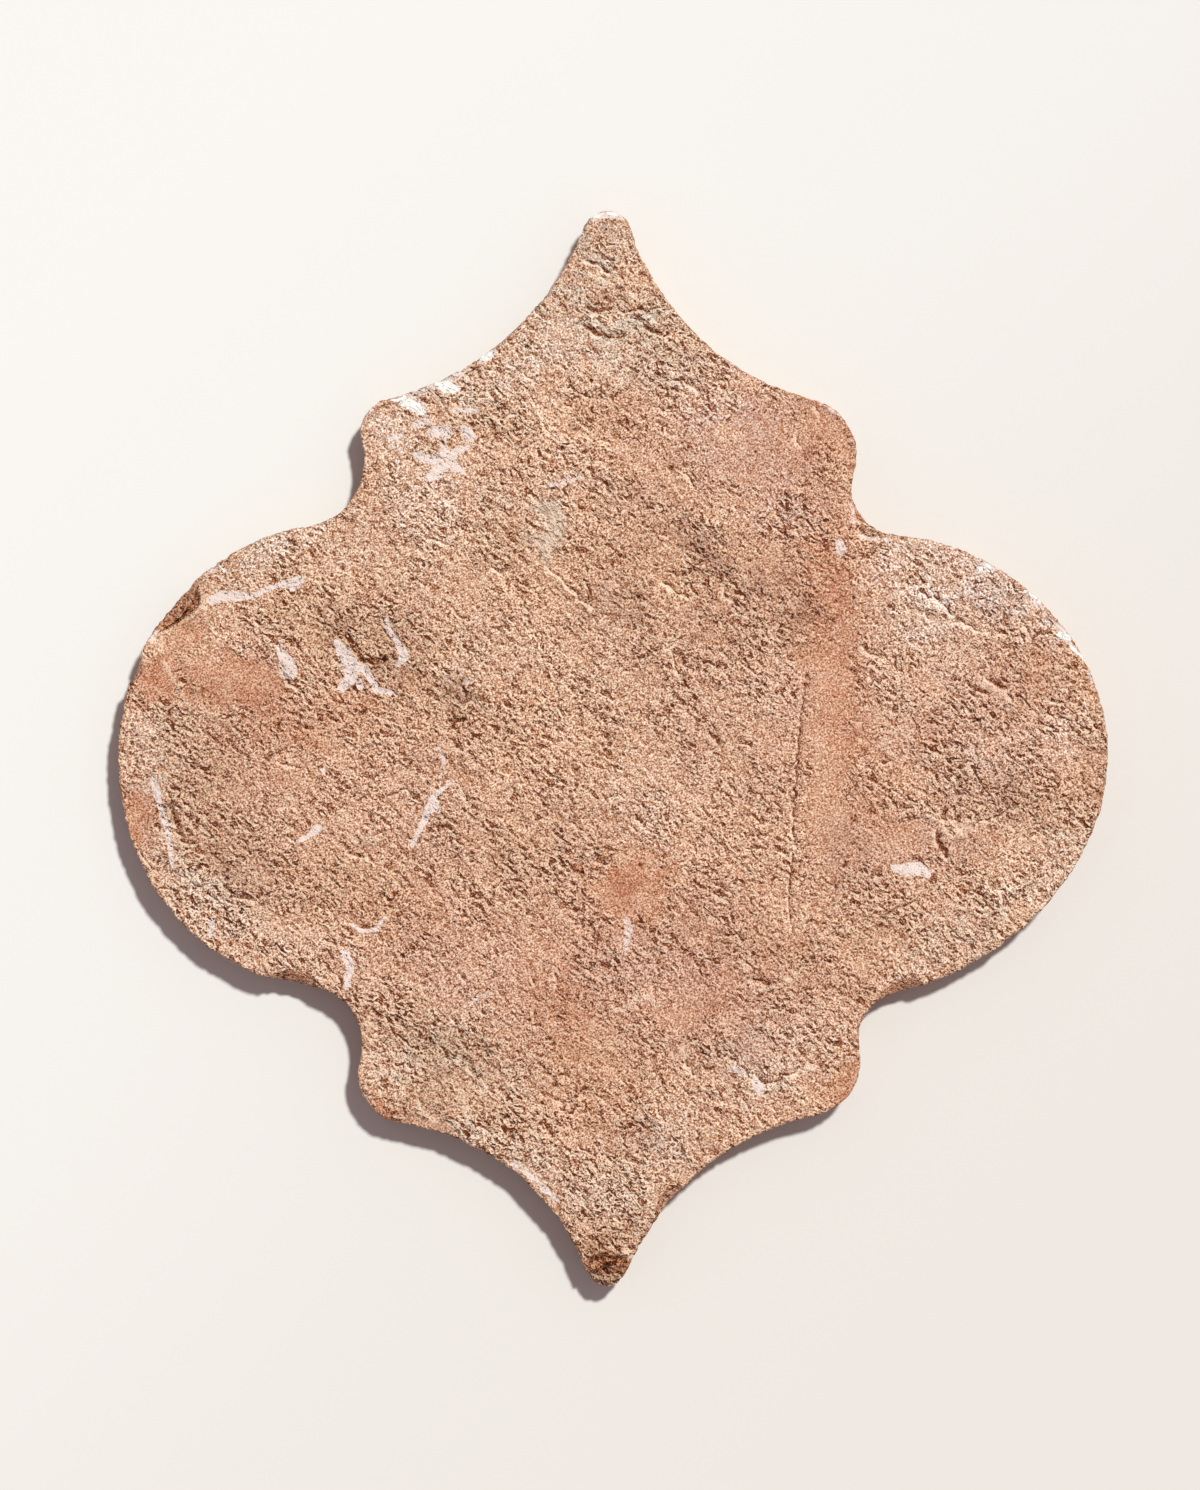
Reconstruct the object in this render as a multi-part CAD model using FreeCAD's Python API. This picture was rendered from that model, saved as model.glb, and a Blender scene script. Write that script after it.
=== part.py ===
import FreeCAD, Part
import math
import os

# A hand-cut terracotta arabesque tile, one fired piece. It lies on its flat back, with its
# two points along Y and its two round lobes along X. Millimetres, +Z up from the back to
# the worn face, origin under the middle of the outline.

V = FreeCAD.Vector

# Overall size
tile_length = 300.0  # point to point, along Y
tile_width = 276.0  # lobe to lobe, along X
tile_thickness = 15.0

# Edges: the sides lean in towards the back, the face's arris is worn round and the back's is
# only rubbed off
side_lean = 1.2  # how much smaller the back is, on every side
face_arris_radius = 1.6
back_arris_bevel = 0.6

# The cutter sat a little askew: both points are left of the middle, and each lobe is
# widest a little below it
points_shift_x = -1.7
right_lobe_shift_y = -1.6
left_lobe_shift_y = -2.8

# The two points and the round end of each lobe
top_point_radius = 7.0
bottom_point_radius = 6.0
right_end_radius = 57.0
left_end_radius = 69.5
lobe_end_angle = 29.0  # half the sweep of a round end, in degrees

# Each corner of the cut, from its point to its lobe: the hollow flank, the round shoulder
# with its centre measured from the points' line and from the lobe's widest line, the hollow
# neck and the long arc of the lobe. It was cut by hand, so the four differ.
upper_right = dict(flank=72.0, shoulder=16.3, shoulder_x=53.5, shoulder_y=83.2, neck=13.1, lobe=66.0)
lower_right = dict(flank=73.0, shoulder=15.7, shoulder_x=55.1, shoulder_y=85.2, neck=13.3, lobe=79.5)
lower_left = dict(flank=65.0, shoulder=14.5, shoulder_x=55.0, shoulder_y=87.4, neck=15.4, lobe=59.0)
upper_left = dict(flank=78.0, shoulder=10.0, shoulder_x=58.9, shoulder_y=90.7, neck=18.0, lobe=62.5)

# Chips out of the face's arris: the arc that each one sits on, how far along that arc,
# clockwise from above, its half length along the rim, how far it bites into the face and
# how far it runs down the side
chips = [
    dict(arc="upper left lobe", along=0.22, half_length=12.0, bite=5.0, drop=6.0),
    dict(arc="upper left lobe", along=0.54, half_length=2.6, bite=2.6, drop=2.6),
    dict(arc="left lobe end", along=0.86, half_length=4.5, bite=2.2, drop=4.0),
    dict(arc="lower left lobe", along=0.09, half_length=8.6, bite=4.2, drop=5.5),
    dict(arc="lower right lobe", along=0.97, half_length=7.4, bite=3.4, drop=5.0),
    dict(arc="lower right flank", along=0.67, half_length=6.0, bite=3.4, drop=4.2),
    dict(arc="bottom point", along=0.50, half_length=10.5, bite=11.0, drop=2.5),
    dict(arc="upper right lobe", along=0.58, half_length=5.0, bite=1.8, drop=2.6),
    dict(arc="upper right lobe", along=0.77, half_length=6.5, bite=2.6, drop=3.2),
    dict(arc="upper right lobe", along=0.95, half_length=4.5, bite=2.2, drop=2.8),
    dict(arc="right lobe end", along=0.69, half_length=2.8, bite=2.0, drop=3.4),
    dict(arc="upper left flank", along=0.33, half_length=6.0, bite=2.6, drop=2.6),
    dict(arc="upper left flank", along=0.03, half_length=5.5, bite=2.2, drop=2.4),
    dict(arc="upper right neck", along=0.40, half_length=5.0, bite=1.6, drop=3.0),
]


def touching_centre(first, first_radius, second, second_radius, radius, away_from):
    """Centre of a circle that touches two others from outside, on the side further from a place."""
    reach_1, reach_2 = first_radius + radius, second_radius + radius
    line = second - first
    along = (reach_1**2 - reach_2**2 + line.Length**2) / (2 * line.Length)
    across = math.sqrt(reach_1**2 - along**2)
    unit = V(line).normalize()
    normal = V(-unit.y, unit.x, 0)
    foot = first + unit * along
    sides = [foot + normal * across, foot - normal * across]
    return max(sides, key=lambda centre: (centre - away_from).Length)


def point_centre(up):
    radius = top_point_radius if up > 0 else bottom_point_radius
    return V(points_shift_x, up * (tile_length / 2 - radius), 0)


def end_centre(right):
    """Centre of the round end of a lobe."""
    radius = right_end_radius if right > 0 else left_end_radius
    shift = right_lobe_shift_y if right > 0 else left_lobe_shift_y
    return V(right * (tile_width / 2 - radius), shift, 0)


def corner_arcs(name, sizes, right, up):
    """Name, centre and radius of a corner's four arcs, from its point to its lobe. A hollow
    arc has a radius below zero."""
    point, end = point_centre(up), end_centre(right)
    point_radius = top_point_radius if up > 0 else bottom_point_radius
    end_radius = right_end_radius if right > 0 else left_end_radius
    shoulder = V(point.x + right * sizes["shoulder_x"], end.y + up * sizes["shoulder_y"], 0)
    turn = math.radians(lobe_end_angle)
    lobe = end - V(right * math.cos(turn), up * math.sin(turn), 0) * (sizes["lobe"] - end_radius)
    middle = V(0, 0, 0)
    flank = touching_centre(point, point_radius, shoulder, sizes["shoulder"], sizes["flank"], middle)
    neck = touching_centre(shoulder, sizes["shoulder"], lobe, sizes["lobe"], sizes["neck"], middle)
    return [
        (name + " flank", flank, -sizes["flank"]),
        (name + " shoulder", shoulder, sizes["shoulder"]),
        (name + " neck", neck, -sizes["neck"]),
        (name + " lobe", lobe, sizes["lobe"]),
    ]


def tile_arcs():
    """The whole outline as touching arcs, clockwise from the top point."""
    arcs = [("top point", point_centre(1), top_point_radius)]
    arcs += corner_arcs("upper right", upper_right, 1, 1)
    arcs += [("right lobe end", end_centre(1), right_end_radius)]
    arcs += corner_arcs("lower right", lower_right, 1, -1)[::-1]
    arcs += [("bottom point", point_centre(-1), bottom_point_radius)]
    arcs += corner_arcs("lower left", lower_left, -1, -1)
    arcs += [("left lobe end", end_centre(-1), left_end_radius)]
    arcs += corner_arcs("upper left", upper_left, -1, 1)[::-1]
    return arcs


def joints_of(arcs):
    """The point where each arc hands over to the next."""
    points = []
    for (_, centre, radius), (_, following, next_radius) in zip(arcs, arcs[1:] + arcs[:1]):
        points.append(centre + (following - centre) * (radius / (radius - next_radius)))
    return points


def outline_wire(arcs, inset, height):
    """The outline drawn smaller all round by the inset, at a height."""
    shrunk = [(name, centre, radius - inset) for name, centre, radius in arcs]
    points = joints_of(shrunk)
    lift = V(0, 0, height)
    edges = []
    for i, (_, centre, radius) in enumerate(shrunk):
        start, end = points[i - 1], points[i]
        bisector = ((start - centre) + (end - centre)).normalize()
        middle = centre + bisector * abs(radius)
        edges.append(Part.Arc(start + lift, middle + lift, end + lift).toShape())
    return Part.Wire(edges)


def rim_edges(body, height):
    return [e for e in body.Edges if all(math.isclose(v.Z, height, abs_tol=1e-6) for v in e.Vertexes)]


def blank(arcs):
    """The whole tile before it was chipped: leaning sides and worn arrises."""
    face = outline_wire(arcs, 0.0, tile_thickness)
    back = outline_wire(arcs, side_lean, 0.0)
    body = Part.makeLoft([back, face], True, True)
    body = body.makeFillet(face_arris_radius, rim_edges(body, tile_thickness))
    return body.makeChamfer(back_arris_bevel, rim_edges(body, 0.0))


def chip_scoop(arcs, chip):
    """The ball whose skin is the chip's broken face, set on the rim of the face."""
    names = [name for name, _, _ in arcs]
    i = names.index(chip["arc"])
    points = joints_of(arcs)
    _, centre, radius = arcs[i]
    start, end = points[i - 1] - centre, points[i] - centre
    swing = start.getAngle(end)
    if start.cross(end).z < 0:
        swing = -swing
    turned = FreeCAD.Rotation(V(0, 0, 1), math.degrees(swing * chip["along"])).multVec(start)
    outward = V(turned).normalize() * (1 if radius > 0 else -1)
    half, bite, drop = chip["half_length"], chip["bite"], chip["drop"]
    out = (half**2 - bite**2) / (2 * bite)
    above = (half**2 - drop**2) / (2 * drop)
    ball_radius = math.sqrt(half**2 + out**2 + above**2)
    rim_point = centre + turned + V(0, 0, tile_thickness)
    ball_centre = rim_point + outward * out + V(0, 0, above)
    return Part.makeSphere(ball_radius, ball_centre)


def make_tile():
    arcs = tile_arcs()
    body = blank(arcs)
    for chip in chips:
        body = body.cut(chip_scoop(arcs, chip))
    return body


os.makedirs("parts", exist_ok=True)
tile = make_tile()
solid = tile.Solids[0] if len(tile.Solids) == 1 else tile
solid.exportStep("parts/tile.step")
box = solid.optimalBoundingBox(False, False)
print("tile: %d solid, %.1f x %.1f x %.1f mm, %.1f cm3" % (
    len(tile.Solids), box.XLength, box.YLength, box.ZLength, solid.Volume / 1000))
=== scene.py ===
import math

import bpy
import numpy as np
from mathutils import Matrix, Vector
from mathutils.bvhtree import BVHTree
from mathutils.geometry import delaunay_2d_cdt


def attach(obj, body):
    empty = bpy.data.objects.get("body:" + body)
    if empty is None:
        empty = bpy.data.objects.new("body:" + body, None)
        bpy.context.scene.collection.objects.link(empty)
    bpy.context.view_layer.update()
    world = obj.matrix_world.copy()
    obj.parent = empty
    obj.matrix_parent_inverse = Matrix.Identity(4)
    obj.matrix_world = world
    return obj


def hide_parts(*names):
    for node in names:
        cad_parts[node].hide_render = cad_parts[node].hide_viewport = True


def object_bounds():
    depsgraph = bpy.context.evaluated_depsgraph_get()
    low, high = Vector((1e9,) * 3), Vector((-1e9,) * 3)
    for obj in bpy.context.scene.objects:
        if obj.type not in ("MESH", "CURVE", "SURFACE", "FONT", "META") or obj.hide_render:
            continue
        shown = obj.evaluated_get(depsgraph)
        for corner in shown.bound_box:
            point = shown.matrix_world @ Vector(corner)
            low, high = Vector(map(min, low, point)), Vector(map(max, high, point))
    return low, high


# A worn terracotta arabesque tile lying on its flat back. Sizes here are in millimetres, with
# X to the right lobe, Y to the top point and Z up, as in the frame.

mm = 0.001
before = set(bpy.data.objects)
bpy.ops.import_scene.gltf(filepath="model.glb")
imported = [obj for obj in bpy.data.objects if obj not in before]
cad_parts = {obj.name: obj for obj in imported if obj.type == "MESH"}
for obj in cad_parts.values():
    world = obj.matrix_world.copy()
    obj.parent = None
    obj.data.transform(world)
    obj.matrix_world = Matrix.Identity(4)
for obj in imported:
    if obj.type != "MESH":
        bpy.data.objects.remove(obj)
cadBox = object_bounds()
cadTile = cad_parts["tile"]
tileTop = cadBox[1].z / mm
print("frame loaded, the tile is %.1f mm thick" % tileTop)

# The clay's relief is drawn on an even sheet first, and the mesh takes its heights from there
claySheet = {"step": 0.25, "width": 300.0, "height": 320.0, "seed": 41}
sheetStep = claySheet["step"]
sheetCells = (int(claySheet["height"] / sheetStep), int(claySheet["width"] / sheetStep))
sheetX = (np.arange(sheetCells[1]) - sheetCells[1] / 2) * sheetStep
sheetY = (np.arange(sheetCells[0]) - sheetCells[0] / 2) * sheetStep
gridX, gridY = np.meshgrid(sheetX, sheetY)
rng = np.random.default_rng(claySheet["seed"])


def waves(cells, step):
    return np.meshgrid(np.fft.fftfreq(cells[1], step), np.fft.fftfreq(cells[0], step))


sheetWaves = waves(sheetCells, sheetStep)


def bandNoise(wavelength, stretch=1.0, turn=0.0, spread=0.45, waveGrid=sheetWaves):
    # even noise of one wavelength, its marks drawn out along a direction in degrees
    across, up = waveGrid
    c, s = math.cos(math.radians(turn)), math.sin(math.radians(turn))
    long, short = (across * c + up * s) * stretch, -across * s + up * c
    size = np.hypot(long, short) * wavelength
    size[0, 0] = 1e-6
    band = np.exp(-0.5 * (np.log(size) / spread) ** 2)
    white = rng.standard_normal(across.shape)
    noise = np.fft.ifft2(np.fft.fft2(white) * band).real
    return noise / noise.std()


def soften(field, radius):
    across, up = sheetWaves
    return np.fft.ifft2(np.fft.fft2(field) * np.exp(-2 * (math.pi * radius) ** 2 * (across**2 + up**2))).real


def smoothStep(value, low, high):
    t = np.clip((value - low) / (high - low), 0, 1)
    return t * t * (3 - 2 * t)


def readSheet(field, x, y):
    # heights between the sheet's cells
    u = np.clip((x - sheetX[0]) / sheetStep, 0, sheetCells[1] - 1.001)
    v = np.clip((y - sheetY[0]) / sheetStep, 0, sheetCells[0] - 1.001)
    i, j = u.astype(int), v.astype(int)
    fu, fv = u - i, v - j
    low = field[j, i] * (1 - fu) + field[j, i + 1] * fu
    high = field[j + 1, i] * (1 - fu) + field[j + 1, i + 1] * fu
    return low * (1 - fv) + high * fv


# Patches of the face: x, y, half length, half width, turn of the length in degrees, strength
clayPatches = {
    "brick": [
        (-65, -101, 4, 2.5, -45, 1.4), (60, 46, 24, 8, 95, 0.9), (66, 10, 16, 7, 95, 0.7),
        (60, 84, 12, 8, 80, 0.8), (62, 95, 9, 4, -50, 0.9), (6, -39, 9, 8, 0, 1.3),
        (-14, -70, 14, 9, 80, 0.6), (-10, -86, 9, 7, 0, 0.4), (25, -68, 18, 9, 0, 0.5),
        (74, -10, 16, 7, 90, 0.5), (-105, 18, 12, 8, 0, 0.8), (-93, 7, 16, 9, 0, 0.7),
        (-75, 11, 9, 6, 0, 0.7), (-127, 19, 7, 6, 60, 0.9), (-119, 34, 5, 4, 0, 0.9),
        (-131, -19, 7, 5, 80, 0.9), (120, 21, 16, 8, 30, 0.5), (88, 5, 8, 6, 0, 0.6),
        (65, -92, 8, 5, 80, 0.8), (-56, -46, 9, 5, 0, 0.5), (-5, -100, 6, 5, 0, 0.6),
        (52, 62, 8, 5, 60, 0.6), (0, 96, 9, 5, 20, 0.5), (-100, -4, 12, 10, 0, 0.4),
    ],
    "umber": [
        (-111, -15, 20, 13, 95, 0.7), (-85, -38, 22, 8, 0, 0.4), (-70, 29, 14, 6, -10, 0.8),
        (-92, 36, 10, 5, 0, 0.6), (-48, 16, 14, 5, -30, 0.7), (-28, -30, 16, 8, -30, 0.4),
        (35, -55, 20, 8, -10, 0.4), (96, -8, 7, 3, 0, 0.5), (120, -15, 16, 6, -10, 0.5),
        (115, -48, 9, 4, -40, 0.5), (75, -50, 10, 5, 0, 0.5), (-50, -96, 8, 5, 0, 0.6),
        (-30, -103, 10, 4, -30, 0.5), (-30, 92, 10, 6, -30, 0.5), (5, 122.5, 14, 1.5, -5, 0.6),
        (8, 115.5, 10, 1.5, -15, 0.5), (-121, 38, 8, 4, 40, 1.0), (50, 35, 8, 6, 0, 0.5),
        (133, 0, 12, 4, 90, 0.5), (-1, -144, 6, 6, 0, 1.6), (-46, -84, 15, 8, -20, 0.8),
        (-30, 60, 16, 9, -30, 0.3), (0, -78, 26, 20, 0, 0.25),
    ],
    "grime": [
        (30, 53, 18, 4, -32, 0.9), (44, 45, 6, 5, 0, 0.8), (52, 37, 5, 3, 0, 0.5),
        (6, 70, 7, 5, 0, 0.5), (30, 34, 9, 6, 100, 0.4), (5, 45, 16, 8, 90, 0.35),
        (-42, 15, 7, 4, -30, 0.5), (10, -134, 8, 4, 20, 0.5), (-58, 35, 5, 6, 0, 0.4),
        (-64, 24, 6, 4, 0, 0.5),
    ],
    "rose": [
        (40, 86, 24, 15, 0, 1.0), (50, 70, 14, 9, 0, 0.7), (10, -60, 24, 13, 0, 0.5),
        (85, -28, 14, 11, 0, 0.6), (-40, -60, 16, 10, 0, 0.5), (95, 22, 20, 12, 0, 0.6),
        (35, 15, 20, 18, 0, 0.4), (105, -5, 22, 14, 0, 0.5), (-50, -20, 12, 16, 0, 0.4),
        (100, 45, 22, 9, -30, 0.6),
    ],
    "sand": [
        (-2, 142, 10, 7, 90, 0.7), (-14, 122, 12, 6, 60, 1.0), (5, 119, 12, 5, 0, 0.7),
        (-25, 108, 14, 7, 35, 0.8), (-60, 88, 12, 9, 0, 1.0), (-45, 100, 10, 5, 0, 1.0),
        (-50, 72, 14, 8, 0, 0.7), (-18, 64, 7, 5, 70, 0.9), (-12, 77, 8, 4, 0, 0.7),
        (-30, 70, 12, 6, 0, 0.5), (-98, 54, 18, 6, 25, 1.0), (-72, 58, 16, 7, 0, 0.7),
        (-40, 55, 14, 8, 0, 0.4), (-30, 30, 20, 12, 0, 0.35), (-5, 20, 20, 14, 90, 0.4),
        (10, -12, 16, 9, 0, 0.5), (88, 38, 16, 11, 0, 0.7), (105, 50, 14, 5, -32, 1.0),
        (120, 36, 10, 5, -50, 0.9), (125, -30, 9, 7, 60, 0.8), (108, -40, 6, 4, 0, 0.7),
        (95, -53, 12, 5, 20, 0.7), (-128, -10, 10, 4, 100, 0.8), (-125, -30, 10, 3, 110, 0.8),
        (-108, -47, 10, 6, -20, 0.8), (-90, -56, 16, 4, -10, 0.6), (-116, -38, 6, 4, 0, 0.7),
        (-129, 4, 8, 5, 90, 0.6), (-53, -104.3, 8, 2, -12, 0.3), (-60, -88, 9, 7, 0, 0.6),
        (-30, -92, 8, 6, 0, 0.5), (-40, -107, 10, 4, -25, 0.7), (-18, -119, 12, 5, -40, 0.9),
        (40, -93, 9, 6, 0, 0.8), (50, -84, 8, 6, 0, 0.6), (15, -110, 8, 7, 0, 0.7),
        (0, -123, 12, 8, 0, 0.7), (60, -78, 6, 6, 0, 0.5), (20, -98, 6, 5, 0, 0.5),
        (-60, 64, 14, 8, 0, 0.7), (45, -83, 18, 9, 0, 0.7), (98, 45, 18, 9, -25, 0.8),
        (5, 119, 12, 4, 0, 0.9), (100, 0, 12, 10, 0, 0.3), (120, -30, 10, 8, 60, 0.5),
        (-50, 48, 16, 12, 0, 0.4), (-10, 108, 14, 8, 0, 0.6), (80, 5, 9, 9, 0, 0.4),
    ],
    "pale": [
        (84, -66.5, 6, 3, -15, 0.8), (-86, 60.5, 8, 3, 20, 1.0), (94, 55, 9, 3, -25, 1.0),
        (76, 50, 8, 5, -10, 0.9), (90, 44, 8, 6, -20, 0.7), (85, 33, 7, 5, 0, 0.6),
        (112.5, -41, 6, 5, -40, 1.0), (54, 61, 4, 3, 0, 1.0), (25, 96, 9, 6, -30, 0.9),
        (33, 106, 7, 3, -40, 0.9), (-48, 67, 9, 7, 0, 0.9), (-44, -80, 8, 6, 0, 0.8),
        (128, 7, 7, 5, 90, 1.1), (-25, 91, 9, 6, -30, 0.9), (-66, 87, 5, 7, 0, 0.7),
        (-5.5, 105.5, 7, 4, 0, 0.7), (-103, 33, 8, 5, 10, 0.7), (-99, -61.5, 8, 3, -20, 0.8),
        (126.5, -33, 5, 5, 60, 0.7), (-102, -11, 8, 7, 0, 0.7), (-88, -64.5, 8, 3, -10, 0.9),
        (32, 107, 7, 4, -40, 0.7), (48, 65, 6, 4, 0, 0.9), (59, 40, 4, 5, 0, 0.9),
        (122, 36, 5, 5, -45, 0.6), (-113, -41, 6, 5, 40, 0.7), (-110, 0, 7, 5, 0, 0.6),
        (12.5, -25.5, 7, 5, 0, 0.6), (24, -65, 8, 5, 0, 0.7), (10.5, -67, 7, 6, 0, 0.5),
        (-40, 14.5, 7, 5, -30, 0.7), (-18, 112, 8, 5, 40, 0.5),
    ],
    "dun": [
        (34, -80, 9, 8, 0, 0.8), (-71, -73, 5, 7, 0, 0.8), (23.5, -114, 6, 4, 40, 0.8),
        (121.5, 18, 6, 5, 0, 0.8), (41, -10, 6, 6, 0, 0.7), (43, 46, 6, 5, 0, 0.7),
        (23.5, 35, 7, 6, 0, 0.6), (135, -3, 3, 7, 0, 0.8), (-51, -104, 8, 3, -12, 1.2),
        (5, -108.5, 8, 5, 0, 0.9), (-12, -22, 9, 7, -30, 1.0), (73, -70, 6, 4, 0, 0.9),
        (-73, -63.5, 6, 5, 0, 0.8), (63, -24, 6, 8, 90, 0.8), (66, -35, 6, 6, 0, 0.8),
        (94, -28, 8, 6, 0, 0.7), (-5, -126, 6, 8, 0, 0.6), (-73, 39, 7, 5, 0, 0.7),
        (26, 32, 7, 5, 0, 0.7), (97, -54, 8, 4, 20, 0.7), (8.5, 28.5, 6, 6, 0, 0.7),
        (30, -44, 7, 6, 0, 0.7), (-16.5, -123, 5, 5, 0, 0.6), (-101, -35, 8, 6, 0, 0.7),
        (27.5, 0.5, 6, 6, 0, 0.7), (-55, -48, 7, 5, 0, 0.6), (-5, 40, 7, 6, 0, 0.6),
        (55.5, -63.5, 6, 5, 0, 0.6), (5, -42, 6, 5, 0, 0.5), (-48.5, -3.5, 7, 6, 0, 0.5),
        (110, -12, 7, 6, 0, 0.7), (-9, -138, 5, 7, -40, 0.9),
    ],
    "ash": [
        (-8, 138, 9, 7, 60, 1.1), (3, 113, 18, 10, -10, 0.55), (-45, -86, 13, 10, 0, 0.5),
    ],
    "smooth": [
        (-8, 138, 10, 7, 60, 0.5), (-16, 113, 13, 7, 45, 0.5), (-56, 66, 12, 7, -30, 0.35),
        (96, 44, 9, 5, -30, 0.35), (42, 84, 20, 14, 10, 0.65), (5, -38, 10, 8, 20, 0.9),
        (-105, 19, 14, 8, 0, 0.6), (-127, 20, 8, 6, 80, 0.8), (-132, -18, 8, 5, 80, 0.8),
        (67, -93, 7, 5, 80, 0.7), (58, 92, 14, 7, -40, 0.6), (54.5, 26, 3.5, 4, 0, 1.0),
        (30.5, 42, 3, 6, 10, 0.7), (64, 28, 6, 18, 0, 0.6), (43, 53, 5, 3, 0, 0.7),
        (35, 66, 10, 7, -30, 0.5), (18, -73, 12, 6, 0, 0.6), (-10, 12, 16, 9, 0, 0.3),
        (-42, 44, 7, 6, 0, 0.4), (-118, 33, 5, 3, 20, 0.9), (-53, -104.3, 8, 2, -12, 1.2),
        (-10, -66, 4, 6, 0, 0.5), (32, -62, 4, 7, 0, 0.5), (60, -5, 7, 42, 0, 0.75),
        (82, -25, 7, 6, 0, 0.7), (88, 20, 6, 8, 0, 0.5), (-88, -8, 14, 7, -40, 0.45),
        (38, 100, 10, 6, -40, 0.5), (-8, -76, 7, 8, 0, 0.5), (-35, 20, 10, 6, -40, 0.4),
        (20, -25, 9, 6, -40, 0.4), (-60, -52, 9, 6, -30, 0.4), (100, -32, 6, 5, 0, 0.4),
    ],
    "bare": [
        (-105, 19, 13, 7, 0, 1.0), (-127, 20, 6, 5, 60, 1.0), (-118, 32.3, 5.5, 2.4, 25, 1.1),
        (-131, -17, 8, 3.5, 85, 1.0), (4, -39, 6, 5, 50, 0.9), (64, 27, 2.5, 13, 0, 0.7),
        (66, -93, 5, 3.5, 80, 0.8), (-65, -101, 3, 2, -45, 0.9), (-100, 10, 8, 4, -30, 0.5),
        (63, 42, 4, 7, 0, 0.7), (68, 6, 4, 9, 0, 0.55), (30, -68, 6, 4, 0, 0.5),
        (-10, -85, 5, 4, 0, 0.45),
    ],
    "dusty": [
        (5, -62, 58, 30, 0, 1.0), (58, 5, 52, 13, 92, 0.8), (108, 5, 24, 14, 0, 0.35),
    ],
    "tan": [
        (-102, -6, 34, 32, 0, 1.0), (-70, 10, 20, 12, 0, 0.4),
    ],
    "coarse": [
        (4, 118, 14, 7, 0, 0.8), (10, 104, 18, 6, 0, 0.8), (-38, 97, 16, 8, -20, 0.7),
        (-45, 84, 14, 8, 0, 0.4), (44, 42, 14, 8, -30, 0.5), (45, 19, 14, 9, -20, 0.6),
        (26, 58, 9, 6, -40, 0.7), (108, 3, 28, 24, 0, 0.6), (95, -50, 25, 12, 0, 0.7),
        (115, 35, 20, 8, -40, 0.6), (-75, 30, 18, 12, -20, 1.0), (-68, 39, 14, 5, 0, 0.8),
        (-125, -2, 22, 10, 95, 0.7), (-105, -45, 22, 10, -20, 0.8), (-40, -100, 26, 9, -25, 1.0),
        (-15, -32, 26, 16, -30, 0.7), (40, -82, 24, 12, 0, 0.35), (0, -125, 14, 20, 0, 0.6),
        (20, -100, 20, 10, 0, 0.5), (-65, -76, 12, 14, 0, 0.8), (-5, -58, 22, 14, -50, 0.5),
        (-48, 19, 9, 6, -30, 0.7), (55, 64, 9, 6, -30, 0.8), (90, 35, 18, 16, 0, 0.2),
    ],
}


patchEdges = {"wavelength": 9.0, "spread": 0.7, "waver": 2.5, "fall": 0.7}
wavers = {"grime": 2.0, "rose": 3.0, "smooth": 1.0, "dusty": 5.0, "tan": 5.0, "coarse": 2.0, "bare": 1.5}


def patchMask(patches, waver):
    # soft patches whose edges wander by about the waver
    x, y = [grid + waver * bandNoise(patchEdges["wavelength"], spread=patchEdges["spread"])
            for grid in (gridX, gridY)]
    mask = np.zeros(sheetCells)
    for cx, cy, halfLength, halfWidth, turn, strength in patches:
        c, s = math.cos(math.radians(turn)), math.sin(math.radians(turn))
        along = ((x - cx) * c + (y - cy) * s) / halfLength
        aside = ((y - cy) * c - (x - cx) * s) / halfWidth
        mask = np.maximum(mask, strength * np.exp(-patchEdges["fall"] * (along**2 + aside**2)))
    return mask


masks = {}
for name, patches in clayPatches.items():
    masks[name] = patchMask(patches, wavers.get(name, patchEdges["waver"]))
print("patches laid out: " + ", ".join(masks))

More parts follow.
